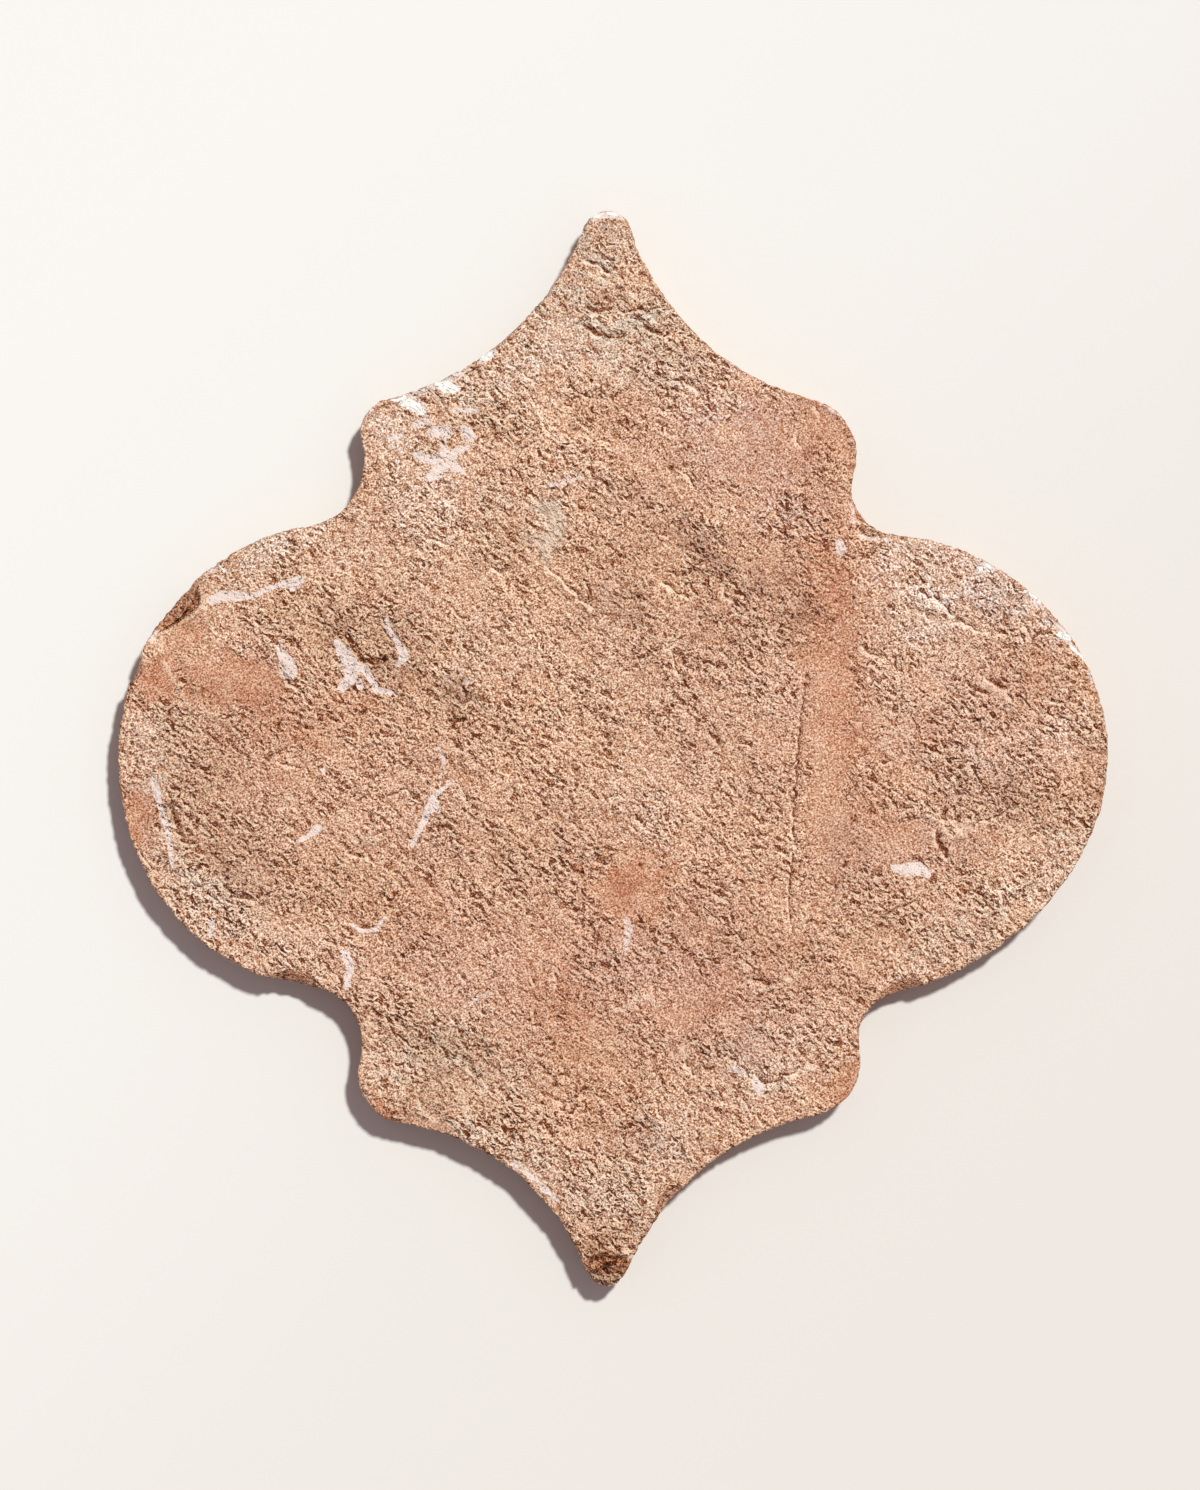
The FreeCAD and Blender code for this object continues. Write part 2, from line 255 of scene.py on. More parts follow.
# Marks seen in the photo, placed one by one. Lime stuck to the face: strength and then the
# stroke's x, y and half width from point to point
limeStrokes = [
    (1.0, [(-77, 30, 0.3), (-75, 26.5, 1.5), (-72.5, 22.5, 1.9), (-73, 19.5, 1.4), (-75.5, 16.8, 0.8)]),
    (0.9, [(-72, 23, 1.0), (-69.5, 22.5, 0.5), (-67, 19, 0.7), (-66, 16.5, 0.6), (-61, 15.5, 0.3)]),
    (0.8, [(-70.5, 19, 0.4), (-70.3, 17.2, 0.7)]),
    (0.8, [(-63, 37, 0.1), (-62.5, 33, 0.6), (-60, 30, 0.4), (-58, 26, 1.1), (-60, 22.5, 0.2)]),
    (0.5, [(-37, 36, 0.3), (-40, 34, 0.2), (-44, 31.5, 0.3), (-43, 29, 0.3), (-44.5, 26, 0.3),
           (-43, 23, 0.6),
           (-41, 18, 0.4)]),
    (0.5, [(-33, 48.5, 0.2), (-38, 45, 0.2), (-38.5, 42.5, 0.1)]),
    (0.9, [(-86.5, 47.3, 0.6), (-89, 45.7, 1.6), (-92, 46, 0.4), (-96, 44.5, 0.3), (-100, 42.5, 0.4),
           (-104, 42.5, 0.9), (-109, 42.3, 1.3), (-112.5, 41, 0.4)]),
    (1.0, [(-93, 28.5, 0.5), (-91, 24.5, 1.5), (-89.5, 21.5, 1.5), (-91.5, 20.5, 0.5)]),
    (0.5, [(-99, 31, 0.2), (-96, 26, 0.4), (-93, 22, 0.2)]),
    (0.7, [(-128, -8, 0.5), (-127, -12, 0.9), (-126, -16, 0.5), (-124, -22, 0.8), (-123, -28, 0.5),
           (-122.5, -33, 0.6)]),
    (0.8, [(-88, -26, 0.1), (-84, -24, 0.5), (-82.5, -22.5, 1.1), (-81.5, -21.5, 0.3)]),
    (0.8, [(-80.8, -6, 0.4), (-80.3, -6, 0.4)]),
    (0.8, [(-111.5, -47.5, 0.8), (-112, -52, 0.3)]),
    (0.9, [(-45, -9.5, 0.1), (-48.5, -12, 0.3), (-50.5, -15, 1.1), (-51.5, -18, 0.8),
           (-53.5, -22, 0.4), (-56, -27, 0.2)]),
    (0.8, [(-50, -15, 0.9), (-48.6, -17.2, 0.5)]),
    (0.6, [(-48.5, 0.2, 0.3), (-47, -3, 0.4), (-48, -8, 0.2)]),
    (0.8, [(-72.5, -49, 0.4), (-69.5, -51, 0.3), (-66, -50.5, 0.4), (-63.5, -47, 0.1)]),
    (0.7, [(-74.5, -57, 1.2), (-73, -60, 1.0), (-74, -66, 0.8)]),
    (0.5, [(-47, -73, 0.1), (-45.5, -70, 0.2), (-41, -64, 0.1)]),
    (0.6, [(-41, -71.5, 0.1), (-38, -69.5, 0.4), (-34, -67.9, 0.5)]),
    (0.6, [(3.2, -47, 0.5), (4.5, -49.5, 1.1), (4, -52, 1.1), (3.8, -55.5, 0.3)]),
    (0.6, [(-16, -63.5, 0.1), (-16.1, -67, 0.1)]),
    (0.6, [(-17, 73.5, 0.6), (-13, 74.5, 0.7), (-9, 75.5, 0.3)]),
    (1.0, [(-46, 80, 1.7), (-50, 76, 1.1), (-51.5, 75, 0.4)]),
    (0.9, [(-46, 80, 1.4), (-42, 77, 0.5)]),
    (0.9, [(-46, 80, 1.4), (-43, 83, 0.7), (-40, 84, 0.3)]),
    (0.9, [(-46, 80, 1.4), (-47, 84.5, 0.4)]),
    (0.9, [(-46, 80, 1.3), (-53, 81, 0.8), (-55, 82, 0.3)]),
    (0.9, [(-50, 88, 1.2), (-46.5, 88, 1.5)]),
    (0.9, [(-41.5, 89, 0.8), (-39.5, 87, 1.2)]),
    (0.8, [(-55, 90, 0.8), (-52, 91, 0.9)]),
    (0.7, [(-44, 94, 0.8), (-38, 94, 0.4)]),
    (0.7, [(-62, 86, 0.7), (-59, 87, 0.6)]),
    (1.0, [(-61, 98.3, 0.8), (-57, 97.5, 1.1), (-54, 95.5, 0.9), (-52.5, 93.5, 0.4)]),
    (1.0, [(-48, 101.5, 1.0), (-44, 100, 0.6)]),
    (1.0, [(-37, 108.5, 0.9), (-34, 109.8, 0.6)]),
    (1.0, [(-6, 148.5, 0.7), (-1, 149.5, 0.8), (2, 149.5, 0.5)]),
    (1.0, [(78, -33, 0.4), (81, -33.7, 1.1), (84.5, -33.2, 1.6), (87.3, -34.6, 0.8)]),
    (1.0, [(63, 57.3, 0.7), (63.4, 55.2, 1.0)]),
    (0.45, [(124, 8.5, 1.0), (127, 7.5, 1.1), (130, 8, 0.4)]),
    (0.7, [(69, 59.2, 0.2), (73, 58.5, 0.4), (77, 57.9, 0.4), (80, 55.8, 0.2)]),
    (1.0, [(39.5, -92.5, 0.6), (41, -94.6, 0.9)]),
    (0.6, [(33.5, -88.5, 0.7), (35.5, -91, 0.6)]),
    (0.6, [(-28, -115, 0.6), (-22, -119.5, 0.6), (-18, -123.5, 0.8), (-15, -126, 0.4)]),
    (0.7, [(103.5, 51.5, 0.5), (107, 50.5, 0.6)]),
    (0.7, [(120, 38, 0.5), (126, 31.5, 0.6)]),
    (0.6, [(66.5, 68, 0.5), (67, 62.5, 0.3)]),
]
# Chalk, whiter and drier than the lime, on the rim
chalkStrokes = [
    (1.0, [(-66, 98, 0.3), (-62, 98.2, 0.8), (-59, 97.3, 1.0), (-57, 96, 1.0), (-55, 95, 0.9),
           (-53, 93.6, 0.6)]),
    (1.0, [(-49.5, 102.5, 0.6), (-47.5, 102, 1.2), (-46.5, 100.5, 1.3), (-44.5, 100, 1.0),
           (-43, 100.3, 0.4)]),
    (1.0, [(-36.3, 109.2, 0.9), (-34.5, 109.4, 0.9)]),
    (1.0, [(-6, 148.6, 0.6), (-4.5, 148.9, 0.9), (-3, 149.6, 0.6)]),
    (1.0, [(-1, 149.4, 0.5), (0.5, 149, 0.5)]),
    (0.5, [(101.5, 49.5, 0.5), (103, 50.5, 1.0), (105, 50, 0.9)]),
    (0.55, [(115, 43.8, 0.6), (117, 42.4, 0.8), (119, 40.8, 0.8)]),
    (0.45, [(120.5, 36.5, 1.0), (121.5, 34, 0.7)]),
    (0.6, [(124, 36, 0.6), (125.4, 35, 0.7)]),
    (1.0, [(124.5, 31.5, 0.7), (126.6, 31.8, 1.0), (127.6, 31, 0.8)]),
    (1.0, [(127.5, 28, 0.4), (129.4, 27.6, 0.6), (131, 26, 0.6), (132, 24, 0.4)]),
    (0.8, [(-108.8, 50.9, 0.6), (-108.4, 49.8, 0.3)]),
]
# A grey film too thin to stand out
greyFilm = [
    (0.7, [(-20, 67.5, 0.8), (-16.5, 66, 1.1), (-15, 63, 1.3), (-16.5, 59, 1.5), (-18.5, 56, 1.4),
           (-19, 53, 0.4)]),
    (0.5, [(-24, 58.5, 0.3), (-20, 58, 1.0)]),
]

# Raised and worn ridges and plates, pale on top, and then hollows where the face has scaled off
ridges = [
    (0.9, [(-65, -89, 0.4), (-61, -91, 0.7), (-57, -92, 0.4)]),
    (0.9, [(-49, -86, 0.4), (-44, -87, 0.7), (-40, -90, 0.4)]),
    (0.9, [(-54, -98, 0.4), (-53.5, -101, 0.6), (-49, -104, 0.5)]),
    (0.8, [(-30, 109, 0.4), (-26, 105.5, 0.5)]),
    (0.8, [(-21, 94, 0.4), (-19, 91, 0.5), (-17.5, 88.5, 0.4)]),
    (0.8, [(-9, 133, 0.5), (-5, 131.5, 1.0), (-1, 129, 0.6)]),
    (0.8, [(-6, 120, 0.6), (0, 119.5, 1.0), (6, 118.5, 0.7)]),
    (1.0, [(-131, 29.5, 0.3), (-127, 32, 0.4), (-122, 34.5, 0.5), (-117, 37.5, 0.6),
           (-114.5, 39.5, 0.4),
           (-113, 36, 0.4), (-110.5, 32, 0.3)]),
    (0.9, [(-133, 24, 0.3), (-129.5, 24.5, 0.4), (-127, 27, 0.4), (-124, 27.5, 0.3)]),
    (0.8, [(-129, 28, 1.5), (-126, 29.5, 1.2)]),
    (0.8, [(-125, 24, 0.5), (-123, 20.5, 0.5), (-121, 17, 0.4), (-118, 12, 0.4)]),
    (0.9, [(-121.5, -38, 0.5), (-117, -36, 0.6), (-113, -38, 0.5), (-110, -36.5, 0.4),
           (-106.5, -34.5, 0.5),
           (-103, -36, 0.4)]),
    (0.8, [(-70, -76, 0.6), (-66, -77.5, 0.6), (-64, -76.5, 0.4)]),
    (0.8, [(-44, -84, 0.5), (-41, -86, 0.5), (-39, -88.5, 0.5), (-36.5, -91.5, 0.4)]),
    (0.9, [(-22, -107, 0.9), (-19, -109, 0.7)]),
    (0.7, [(-42, -104, 0.4), (-37, -106, 0.5), (-32, -108, 0.4)]),
    (0.7, [(-12, -99.5, 0.4), (-8, -97, 0.4), (-5, -95, 0.3)]),
    (0.9, [(39, -67, 0.5), (43, -66.5, 0.5), (47, -65, 0.5), (50.5, -63.5, 0.6), (52.5, -60.5, 0.4),
           (54, -58.5, 0.2)]),
    (0.8, [(0, -73, 0.4), (4, -72, 0.4), (7, -69.5, 0.6), (10, -69, 0.7), (12, -71, 0.5)]),
    (0.7, [(42, -95, 0.4), (47, -93.3, 0.4), (50, -91, 0.4), (53, -88.7, 0.4), (57, -88.5, 0.3)]),
    (0.7, [(19, -84, 0.4), (20.5, -86, 0.3)]),
    (0.8, [(-9, 136.5, 0.4), (-5, 136, 0.4), (-1.5, 133.5, 0.4)]),
    (0.9, [(-7, 119, 0.6), (-2, 117.5, 0.8), (3, 117.5, 1.2), (8, 119, 1.2), (12, 119.5, 1.0)]),
    (0.7, [(-14, 86, 0.4), (-8, 87, 0.8), (-5, 85, 1.0), (-1, 84, 0.8), (3, 83, 0.5)]),
    (0.8, [(102.5, 18.5, 0.8), (106, 16.8, 1.0), (109, 14.5, 1.0), (111, 11.5, 0.8)]),
    (0.9, [(93, -21, 1.0), (95.5, -22.5, 1.2), (97.5, -21.5, 0.8)]),
    (0.7, [(88, -19, 0.3), (90.5, -22, 0.4), (94, -25, 0.3), (97.5, -24, 0.3), (99, -21.5, 0.3)]),
    (0.8, [(107.5, -39, 0.4), (108, -44, 0.4), (110, -47.5, 0.4)]),
    (0.5, [(80, 43, 2.0), (84, 41, 2.0), (88, 40, 1.5)]),
    (0.8, [(8, 24.2, 0.2), (10, 25.5, 0.3), (13, 27.2, 0.4), (16.5, 28, 0.4), (17.8, 31, 0.3),
           (17.9, 35.5, 0.2)]),
    (0.6, [(0, 65, 0.3), (4, 66, 0.3), (8.5, 65.5, 0.3)]),
    (0.5, [(-20, 97, 0.4), (-14, 95, 0.5), (-10, 91, 0.4)]),
    (0.9, [(1, -140.5, 0.6), (4, -140, 0.9), (6, -141.5, 0.6)]),
]
scars = [
    (1.0, [(-128, 32.8, 0.6), (-125, 35.2, 2.0), (-121, 38.4, 2.6), (-117.5, 40.6, 2.2),
           (-116.3, 42, 1.2)]),
    (0.7, [(-4, -142.5, 1.5), (1, -144.5, 2.5), (3, -144, 2.5)]),
]

# Creases, cracks and gouges: the line, half width and depth
grooves = [
    ([(53.4, 17), (52.9, 13), (52.4, 8), (51.8, 2), (51.3, -4), (51, -10), (50.7, -14),
      (50.3, -20)], 0.55, 0.8),
    ([(50.2, -20), (50, -24), (51.5, -28)], 0.4, 0.3),
    ([(50.3, -28), (49.2, -38), (49, -44), (50.5, -52)], 0.4, 0.3),
    ([(8, 25), (9.2, 25.4), (11, 27), (13.5, 28), (16.8, 28.8)], 0.45, 0.45),
    ([(16.8, 27.2), (17.2, 23.5), (18, 22.5), (18.3, 20.5), (19.5, 18.3)], 0.4, 0.45),
    ([(27, 4), (28.6, 3.2), (29.6, 1.8), (29.8, 0.4)], 0.8, 1.0),
    ([(25.5, -0.8), (27.5, 0), (29.5, 0.2)], 0.4, 0.5),
    ([(42.2, 12.6), (43.2, 12.2), (44, 10.8)], 0.4, 0.4),
    ([(14, 46.5), (16.5, 44.5), (19, 43), (21.5, 41.8)], 0.5, 0.6),
    ([(30.8, 44.2), (32, 42.6), (33, 41.6)], 0.6, 0.9),
    ([(34, 38.8), (35.5, 37.6)], 0.5, 0.5),
    ([(69.3, 28.3), (70.3, 27.2), (72, 26.8), (74, 26), (75, 25.6)], 0.5, 0.7),
    ([(72, 20.4), (72.3, 19.2), (73.2, 18.6), (74.5, 18.6), (75.2, 19.2)], 0.45, 0.6),
    ([(73, 22.8), (74, 21.8)], 0.4, 0.4),
    ([(65.5, 8), (67.5, 7.7), (69.2, 7.7)], 0.3, 0.4),
    ([(80.8, 41.5), (81.8, 39.8), (83.3, 38.8), (85, 38.6), (87.5, 36.4)], 0.55, 0.7),
    ([(82.3, 45.6), (85, 45.7), (87.5, 46)], 0.35, 0.35),
    ([(88.5, 43.5), (90.3, 41.5), (91, 40.5)], 0.5, 0.5),
    ([(92, 40), (94.5, 37.2)], 0.5, 0.6),
    ([(68, 60.3), (69.5, 59.6), (72, 59.3), (75, 59.8), (79, 59.2), (82, 57.3)], 0.5, 0.8),
    ([(95.5, 35), (98, 35), (101, 33.5), (104, 32.5)], 0.45, 0.5),
    ([(104, 19.6), (106.5, 18), (109.5, 16.5)], 0.7, 0.9),
    ([(99, 18.4), (100.5, 17), (103, 16), (105, 14.5)], 0.65, 0.8),
    ([(121, 14), (124, 13), (127, 13.6), (129.5, 12.5)], 0.45, 0.5),
    ([(74.3, -47.5), (77, -45.5), (79, -44.3), (82, -43.3), (85, -41)], 0.5, 0.7),
    ([(100.5, -20.8), (104, -19.5), (107.5, -18.3), (111.5, -16.5)], 0.4, 0.4),
    ([(108.3, -40), (108.6, -44), (110.3, -46.5), (111.8, -49.5)], 0.45, 0.7),
    ([(91.6, -16.5), (91.9, -19.8)], 0.9, 1.1),
    ([(90, -22.5), (90.7, -26), (92.5, -30)], 0.9, 0.9),
    ([(95, -7.6), (97, -8.8)], 1.0, 1.2),
    ([(74.2, -3.8), (76.5, -3.6)], 0.7, 0.9),
    ([(-71, -49.3), (-69, -49.9), (-67.5, -49.4)], 0.9, 1.0),
    ([(-63.5, -13), (-61, -12.8), (-59, -11.3), (-57.5, -11.2), (-56, -13), (-54.5, -14)], 0.45, 0.7),
    ([(-42.5, -11.2), (-41.3, -11.6), (-41, -13)], 0.5, 0.7),
    ([(-73, -28.8), (-71.5, -29.8), (-69, -29.8)], 0.65, 0.8),
    ([(-29.3, -28.7), (-27.3, -29.1)], 0.8, 1.3),
    ([(-32.3, -24), (-31, -24.8)], 0.65, 0.7),
    ([(-12.7, -18.3), (-12, -20.2), (-8, -23)], 0.55, 0.6),
    ([(-5, -29), (-3.5, -31.8), (-1.5, -32)], 0.7, 0.9),
    ([(-41.8, -63), (-40.5, -64.8)], 0.9, 0.8),
    ([(-36, -67.2), (-34, -67)], 0.45, 0.5),
    ([(-31.9, -67), (-31.7, -68.8)], 0.6, 0.9),
    ([(-60.8, -74.5), (-58.5, -76.5)], 0.9, 0.7),
    ([(-22.8, -64.2), (-21.3, -65)], 1.0, 0.9),
    ([(-16.2, -62.2), (-15.7, -64)], 0.55, 0.8),
    ([(28, -40.3), (30, -40), (31, -41)], 1.3, 0.7),
    ([(34.5, -30), (37, -30), (38.3, -31)], 0.5, 0.6),
    ([(46.5, -28), (48.7, -29)], 0.75, 0.8),
    ([(29.5, -51.5), (31, -52), (34.5, -51.8), (35.5, -53)], 0.5, 0.5),
    ([(38.5, -64.5), (41, -64), (43.5, -65.5), (45.5, -64.7)], 0.8, 0.8),
    ([(51, -61.8), (52.5, -60), (53.5, -58.2)], 0.5, 0.6),
    ([(20.3, -85.5), (20.8, -88), (22, -90), (23.2, -91)], 0.55, 0.7),
    ([(39.5, -90.5), (41.5, -92.8), (44, -93), (47, -92), (49, -90.5), (52, -89)], 0.6, 0.8),
    ([(33, -85), (35, -87.3), (37.5, -90)], 0.5, 0.5),
    ([(-40.5, -87.5), (-38, -90), (-37, -92)], 0.8, 0.7),
    ([(-9, -95.8), (-7.5, -94.8), (-6.5, -94.2)], 0.6, 0.9),
    ([(-15, -97.8), (-12, -98.8)], 0.5, 0.6),
    ([(7.3, -107.5), (7.2, -110.5)], 0.55, 0.7),
    ([(4.5, -114), (6.5, -115), (8.5, -115)], 0.65, 0.8),
    ([(-53, -93.5), (-54, -96), (-53.5, -98.5)], 0.5, 0.6),
    ([(-9, -123.5), (-7, -126.5)], 0.45, 0.5),
    ([(9, -105.5), (12, -104.8)], 0.5, 0.5),
    ([(-92.5, 22), (-91, 19.5), (-89, 17.5), (-86.5, 16), (-85, 13)], 0.45, 0.5),
    ([(-123, -14), (-122.5, -17), (-121.5, -21), (-119.5, -25.5), (-116, -26.5)], 0.75, 0.9),
    ([(-108, -37.5), (-107, -39.5), (-104.5, -41.5), (-100, -42)], 0.65, 0.8),
    ([(-92.5, -16), (-91, -16.2)], 0.65, 1.0),
    ([(-93, -3.5), (-89, -5)], 0.45, 0.5),
    ([(-102.5, -20.5), (-100.5, -23)], 0.45, 0.5),
    ([(-114, -21.8), (-113, -22.5)], 0.7, 0.9),
    ([(-77.5, 31.5), (-75, 32.5), (-73.5, 31), (-71.5, 27.5), (-69.5, 24.8), (-67, 24), (-64, 24.3),
      (-62.5, 25)], 1.0, 1.0),
    ([(-62.3, 35), (-59.5, 34.8)], 0.35, 0.35),
    ([(-50, 23.5), (-48.5, 22.5)], 0.9, 0.8),
    ([(-51, 16.5), (-49.5, 17), (-47.5, 16.5)], 0.55, 0.6),
    ([(-42.5, 13), (-41, 13), (-40, 14.5)], 0.55, 0.6),
    ([(-51, 58.3), (-48, 57.7), (-46, 57)], 0.45, 0.6),
    ([(-35, 60), (-34.5, 57.5)], 0.6, 0.8),
    ([(-33, 50.5), (-31.5, 49.3), (-30, 49.3)], 0.65, 0.8),
    ([(-20.9, 54.5), (-20.3, 52)], 0.9, 1.1),
    ([(-17.8, 50.5), (-15, 48), (-13, 46), (-11, 44), (-8.5, 41), (-6, 39.5)], 0.45, 0.45),
    ([(-63.3, 81.5), (-62.3, 78), (-60.5, 73)], 0.5, 0.6),
    ([(-6.8, 79.5), (-6, 77), (-4.5, 75), (-2, 73.8), (0, 71)], 0.65, 0.6),
    ([(-19.8, 92), (-18.5, 89.5), (-17.5, 88)], 0.45, 0.5),
    ([(-30, 107.5), (-25, 104.5), (-21, 101.5)], 0.4, 0.45),
    ([(-8, 136), (-5, 135.3), (-2, 133.3)], 0.55, 0.6),
    ([(-8, 122.7), (-4, 121.5), (0, 122.3)], 0.7, 0.6),
    ([(3.5, 121.4), (7, 122.4), (10, 121.8), (13, 122.8)], 0.6, 0.5),
    ([(-7, 136), (-4, 135), (-1, 132)], 0.7, 0.8),
    ([(-42.5, -85), (-39, -88), (-36, -92)], 0.7, 0.7),
    ([(-70, -92), (-66, -91.3)], 0.5, 0.8),
    ([(-8, 117.5), (-4, 115.5), (0, 114.5), (4, 115.5)], 0.7, 0.9),
    ([(8, 117.5), (11, 116.5), (14, 115)], 0.8, 1.0),
    ([(-3, 101), (-1, 100.8)], 1.1, 0.9),
    ([(12, 105), (16, 102.5), (20, 102.5), (24, 99.5)], 0.6, 0.7),
    ([(20, 77), (22, 75), (22.8, 73.2)], 0.45, 0.5),
    ([(40.5, 102), (42, 101), (44, 99.8)], 0.55, 0.6),
    ([(56.5, 95.5), (57.5, 93)], 0.55, 0.6),
    ([(51.3, 87.5), (52, 84)], 0.4, 0.4),
]

# Holes: x, y, radius and depth
holes = [
    (54, 20.1, 1.0, 1.3), (53.7, 17.9, 1.0, 1.1), (10.5, 46, 1.1, 1.3), (7, 42.2, 0.8, 0.9),
    (62, 41, 0.8, 0.9), (67, 42, 0.6, 0.8), (66.2, 25.5, 0.8, 0.9), (67, 21.5, 0.7, 0.8),
    (60.5, 30.6, 0.9, 0.8), (38, 52.4, 0.7, 0.9), (30, 27.6, 0.8, 0.8), (29.3, 22.7, 0.7, 0.7),
    (15.2, 10, 0.7, 0.8), (16.5, 12, 0.7, 0.8), (43.7, -5.6, 0.9, 1.0), (-1.6, 3.7, 1.1, 1.3),
    (-0.9, 1.3, 0.9, 1.0), (-2.2, -0.3, 0.7, 0.8), (-0.8, -1.2, 0.8, 0.9), (-2.8, 1.2, 0.5, 0.7),
    (-29, 4.7, 0.8, 0.9), (-29.7, 34, 0.7, 0.8), (-75.3, 50.3, 0.9, 1.0), (-88.9, 55, 0.8, 1.0),
    (-87.4, 53.4, 0.8, 0.9), (-63.6, 65.6, 0.8, 0.9), (-14.2, 83.7, 0.9, 1.6), (16, 78.1, 1.1, 1.2),
    (31.8, 91.3, 0.6, 0.8), (39.7, 82.6, 0.6, 0.7), (28.7, 84, 0.5, 0.6), (53.3, 82, 0.6, 0.7),
    (-27.3, 7.5, 0.6, 0.7), (-2.2, 52, 0.6, 0.7), (67, -2.8, 0.6, 0.7), (67, -19.5, 1.1, 0.8),
    (66.5, -42.6, 1.1, 0.8), (46, -55, 0.8, 0.9), (30.3, -38, 0.6, 0.6), (20.4, -39.6, 0.6, 0.8),
    (13.6, -33, 0.6, 0.8), (7.6, -32.3, 0.7, 0.9), (13.5, -43, 0.6, 0.7), (13.1, -80.2, 0.7, 0.9),
    (47.3, -71.9, 0.6, 0.7), (-23.6, -45.6, 0.8, 0.9), (-43.5, -28, 0.7, 0.8),
    (-51.3, -22.8, 0.8, 0.9), (-67.5, -18.8, 0.8, 0.8), (-52.5, -65.6, 0.7, 0.7),
    (-58.5, -57.4, 0.8, 0.8), (-33.5, -51.8, 0.8, 0.8), (-8.6, -34.2, 0.7, 0.8),
    (95.2, 19.3, 0.8, 0.9), (101, 0.2, 0.7, 0.9), (105.3, -42.6, 0.8, 0.9), (102.8, -37, 0.7, 0.8),
    (128.5, -3, 0.7, 0.8), (96, -18.8, 0.8, 0.8), (77.4, -9.8, 0.7, 0.8), (-104.5, 44.5, 0.6, 0.8),
    (-128, 2.5, 0.8, 0.9), (-90, -19.7, 0.6, 0.8), (-85.5, 6.2, 0.8, 0.9), (-126.5, -31.5, 0.9, 1.0),
    (-29.5, -102, 0.9, 0.8), (-5, -139.5, 0.9, 0.8), (-36, -83, 0.8, 0.8), (-16.5, -82, 0.8, 0.8),
    (-24, 111.8, 0.9, 0.9), (9.5, 110, 0.6, 0.8), (12.5, 112, 0.6, 0.8), (0.2, 136, 0.6, 0.8),
    (-6, 102.5, 0.7, 0.8), (-27.5, 55, 0.6, 0.7), (-33, 53.5, 0.7, 0.8), (-45, 52.7, 0.7, 0.8),
    (-56, 53.2, 0.6, 0.7), (-15.5, 62.7, 0.5, 0.7), (-72.5, 63.3, 0.9, 1.0),
]


def around(x, y, reach):
    # the sheet's cells near a place, and how far off it they stand
    cells = int(reach / sheetStep) + 2
    i, j = int(round((x - sheetX[0]) / sheetStep)), int(round((y - sheetY[0]) / sheetStep))
    window = slice(max(j - cells, 0), j + cells + 1), slice(max(i - cells, 0), i + cells + 1)
    return window, gridX[window] - x, gridY[window] - y


def evenLine(points, spacing):
    # a drawn line dealt out evenly, and how far along it each point stands
    points = np.array(points, float)
    legs = np.linalg.norm(np.diff(points[:, :2], axis=0), axis=1)
    length = np.concatenate([[0], np.cumsum(legs)])
    at = np.linspace(0, length[-1], max(int(length[-1] / spacing), 2) + 1)
    return np.column_stack([np.interp(at, length, column) for column in points.T]), at


def drawStrokes(strokes, fade, spacing=0.3):
    field = np.zeros(sheetCells)
    for strength, points in strokes:
        for x, y, halfWidth in evenLine(points, spacing)[0]:
            window, dx, dy = around(x, y, halfWidth + fade)
            inside = np.clip((halfWidth + fade - np.hypot(dx, dy)) / fade, 0, 1)
            field[window] = np.maximum(field[window], strength * inside)
    return field


# each kind's strokes, and how far their edges fade out
strokeKinds = {
    "lime": (limeStrokes, 0.9),
    "chalk": (chalkStrokes, 0.7),
    "film": (greyFilm, 2.0),
    "ridge": (ridges, 0.6),
    "scar": (scars, 0.6),
}
for name, (strokes, fade) in strokeKinds.items():
    masks[name] = drawStrokes(strokes, fade)
    print("%s drawn in %d strokes" % (name, len(strokes)))

# Relief of the face: wavelength and height of each kind of unevenness, drawn out along the
# direction in which the clay was dragged
dragTurn = -40
faceRelief = {
    "swell": dict(wavelength=60, height=0.28),
    "humps": dict(wavelength=17, height=0.10, stretch=1.3, turn=dragTurn),
    "lumps": dict(wavelength=7.5, height=0.045, stretch=1.4, turn=dragTurn),
    "crumbs": dict(wavelength=3.4, height=0.05, stretch=1.5, turn=dragTurn),
}
flakes = {"wavelength": 9.0, "stretch": 1.5, "levels": (-0.9, 0.1, 1.0), "edge": 0.16, "step": 0.06}
pits = {"tries": 450, "radius": (0.5, 1.2), "depth": (0.3, 0.9), "fewLarge": 2.5, "squeeze": 0.4}
creases = {"tries": 260, "length": (2.5, 7.0), "halfWidth": (0.5, 0.85), "depth": (0.25, 0.6), "wander": 32,
           "step": 0.5, "bend": 0.16, "jitter": 0.12}
roughness = {"base": 0.6, "swing": 0.2, "wavelength": 24.0, "coarse": 0.6, "least": 0.05, "most": 1.3}
strokeHeights = {"lime": 0.15, "ridge": 0.4, "scar": -1.3}
reliefFinish = {"soften": 0.22, "highest": 99.8, "hollowFine": 0.3, "hollowBroad": 2.2}
scatterReach = (138, 150)


def pressDent(field, x, y, radius, depth, squeeze=1.0, turn=0.0):
    # presses one rounded dent; squeeze below 1 makes it narrower across its turn
    window, dx, dy = around(x, y, radius)
    c, s = math.cos(turn), math.sin(turn)
    r2 = ((dx * c + dy * s) / radius) ** 2 + ((dy * c - dx * s) / (radius * squeeze)) ** 2
    bowl = depth * np.clip(1 - r2, 0, 1) ** 1.3
    field[window] = np.maximum(field[window], bowl)


def anywhere():
    return [rng.uniform(-reach, reach) for reach in scatterReach]


def tooSmooth(x, y, keep):
    # rough places keep more of the marks that are tried
    return keep > readSheet(rough, np.array([x]), np.array([y]))[0]


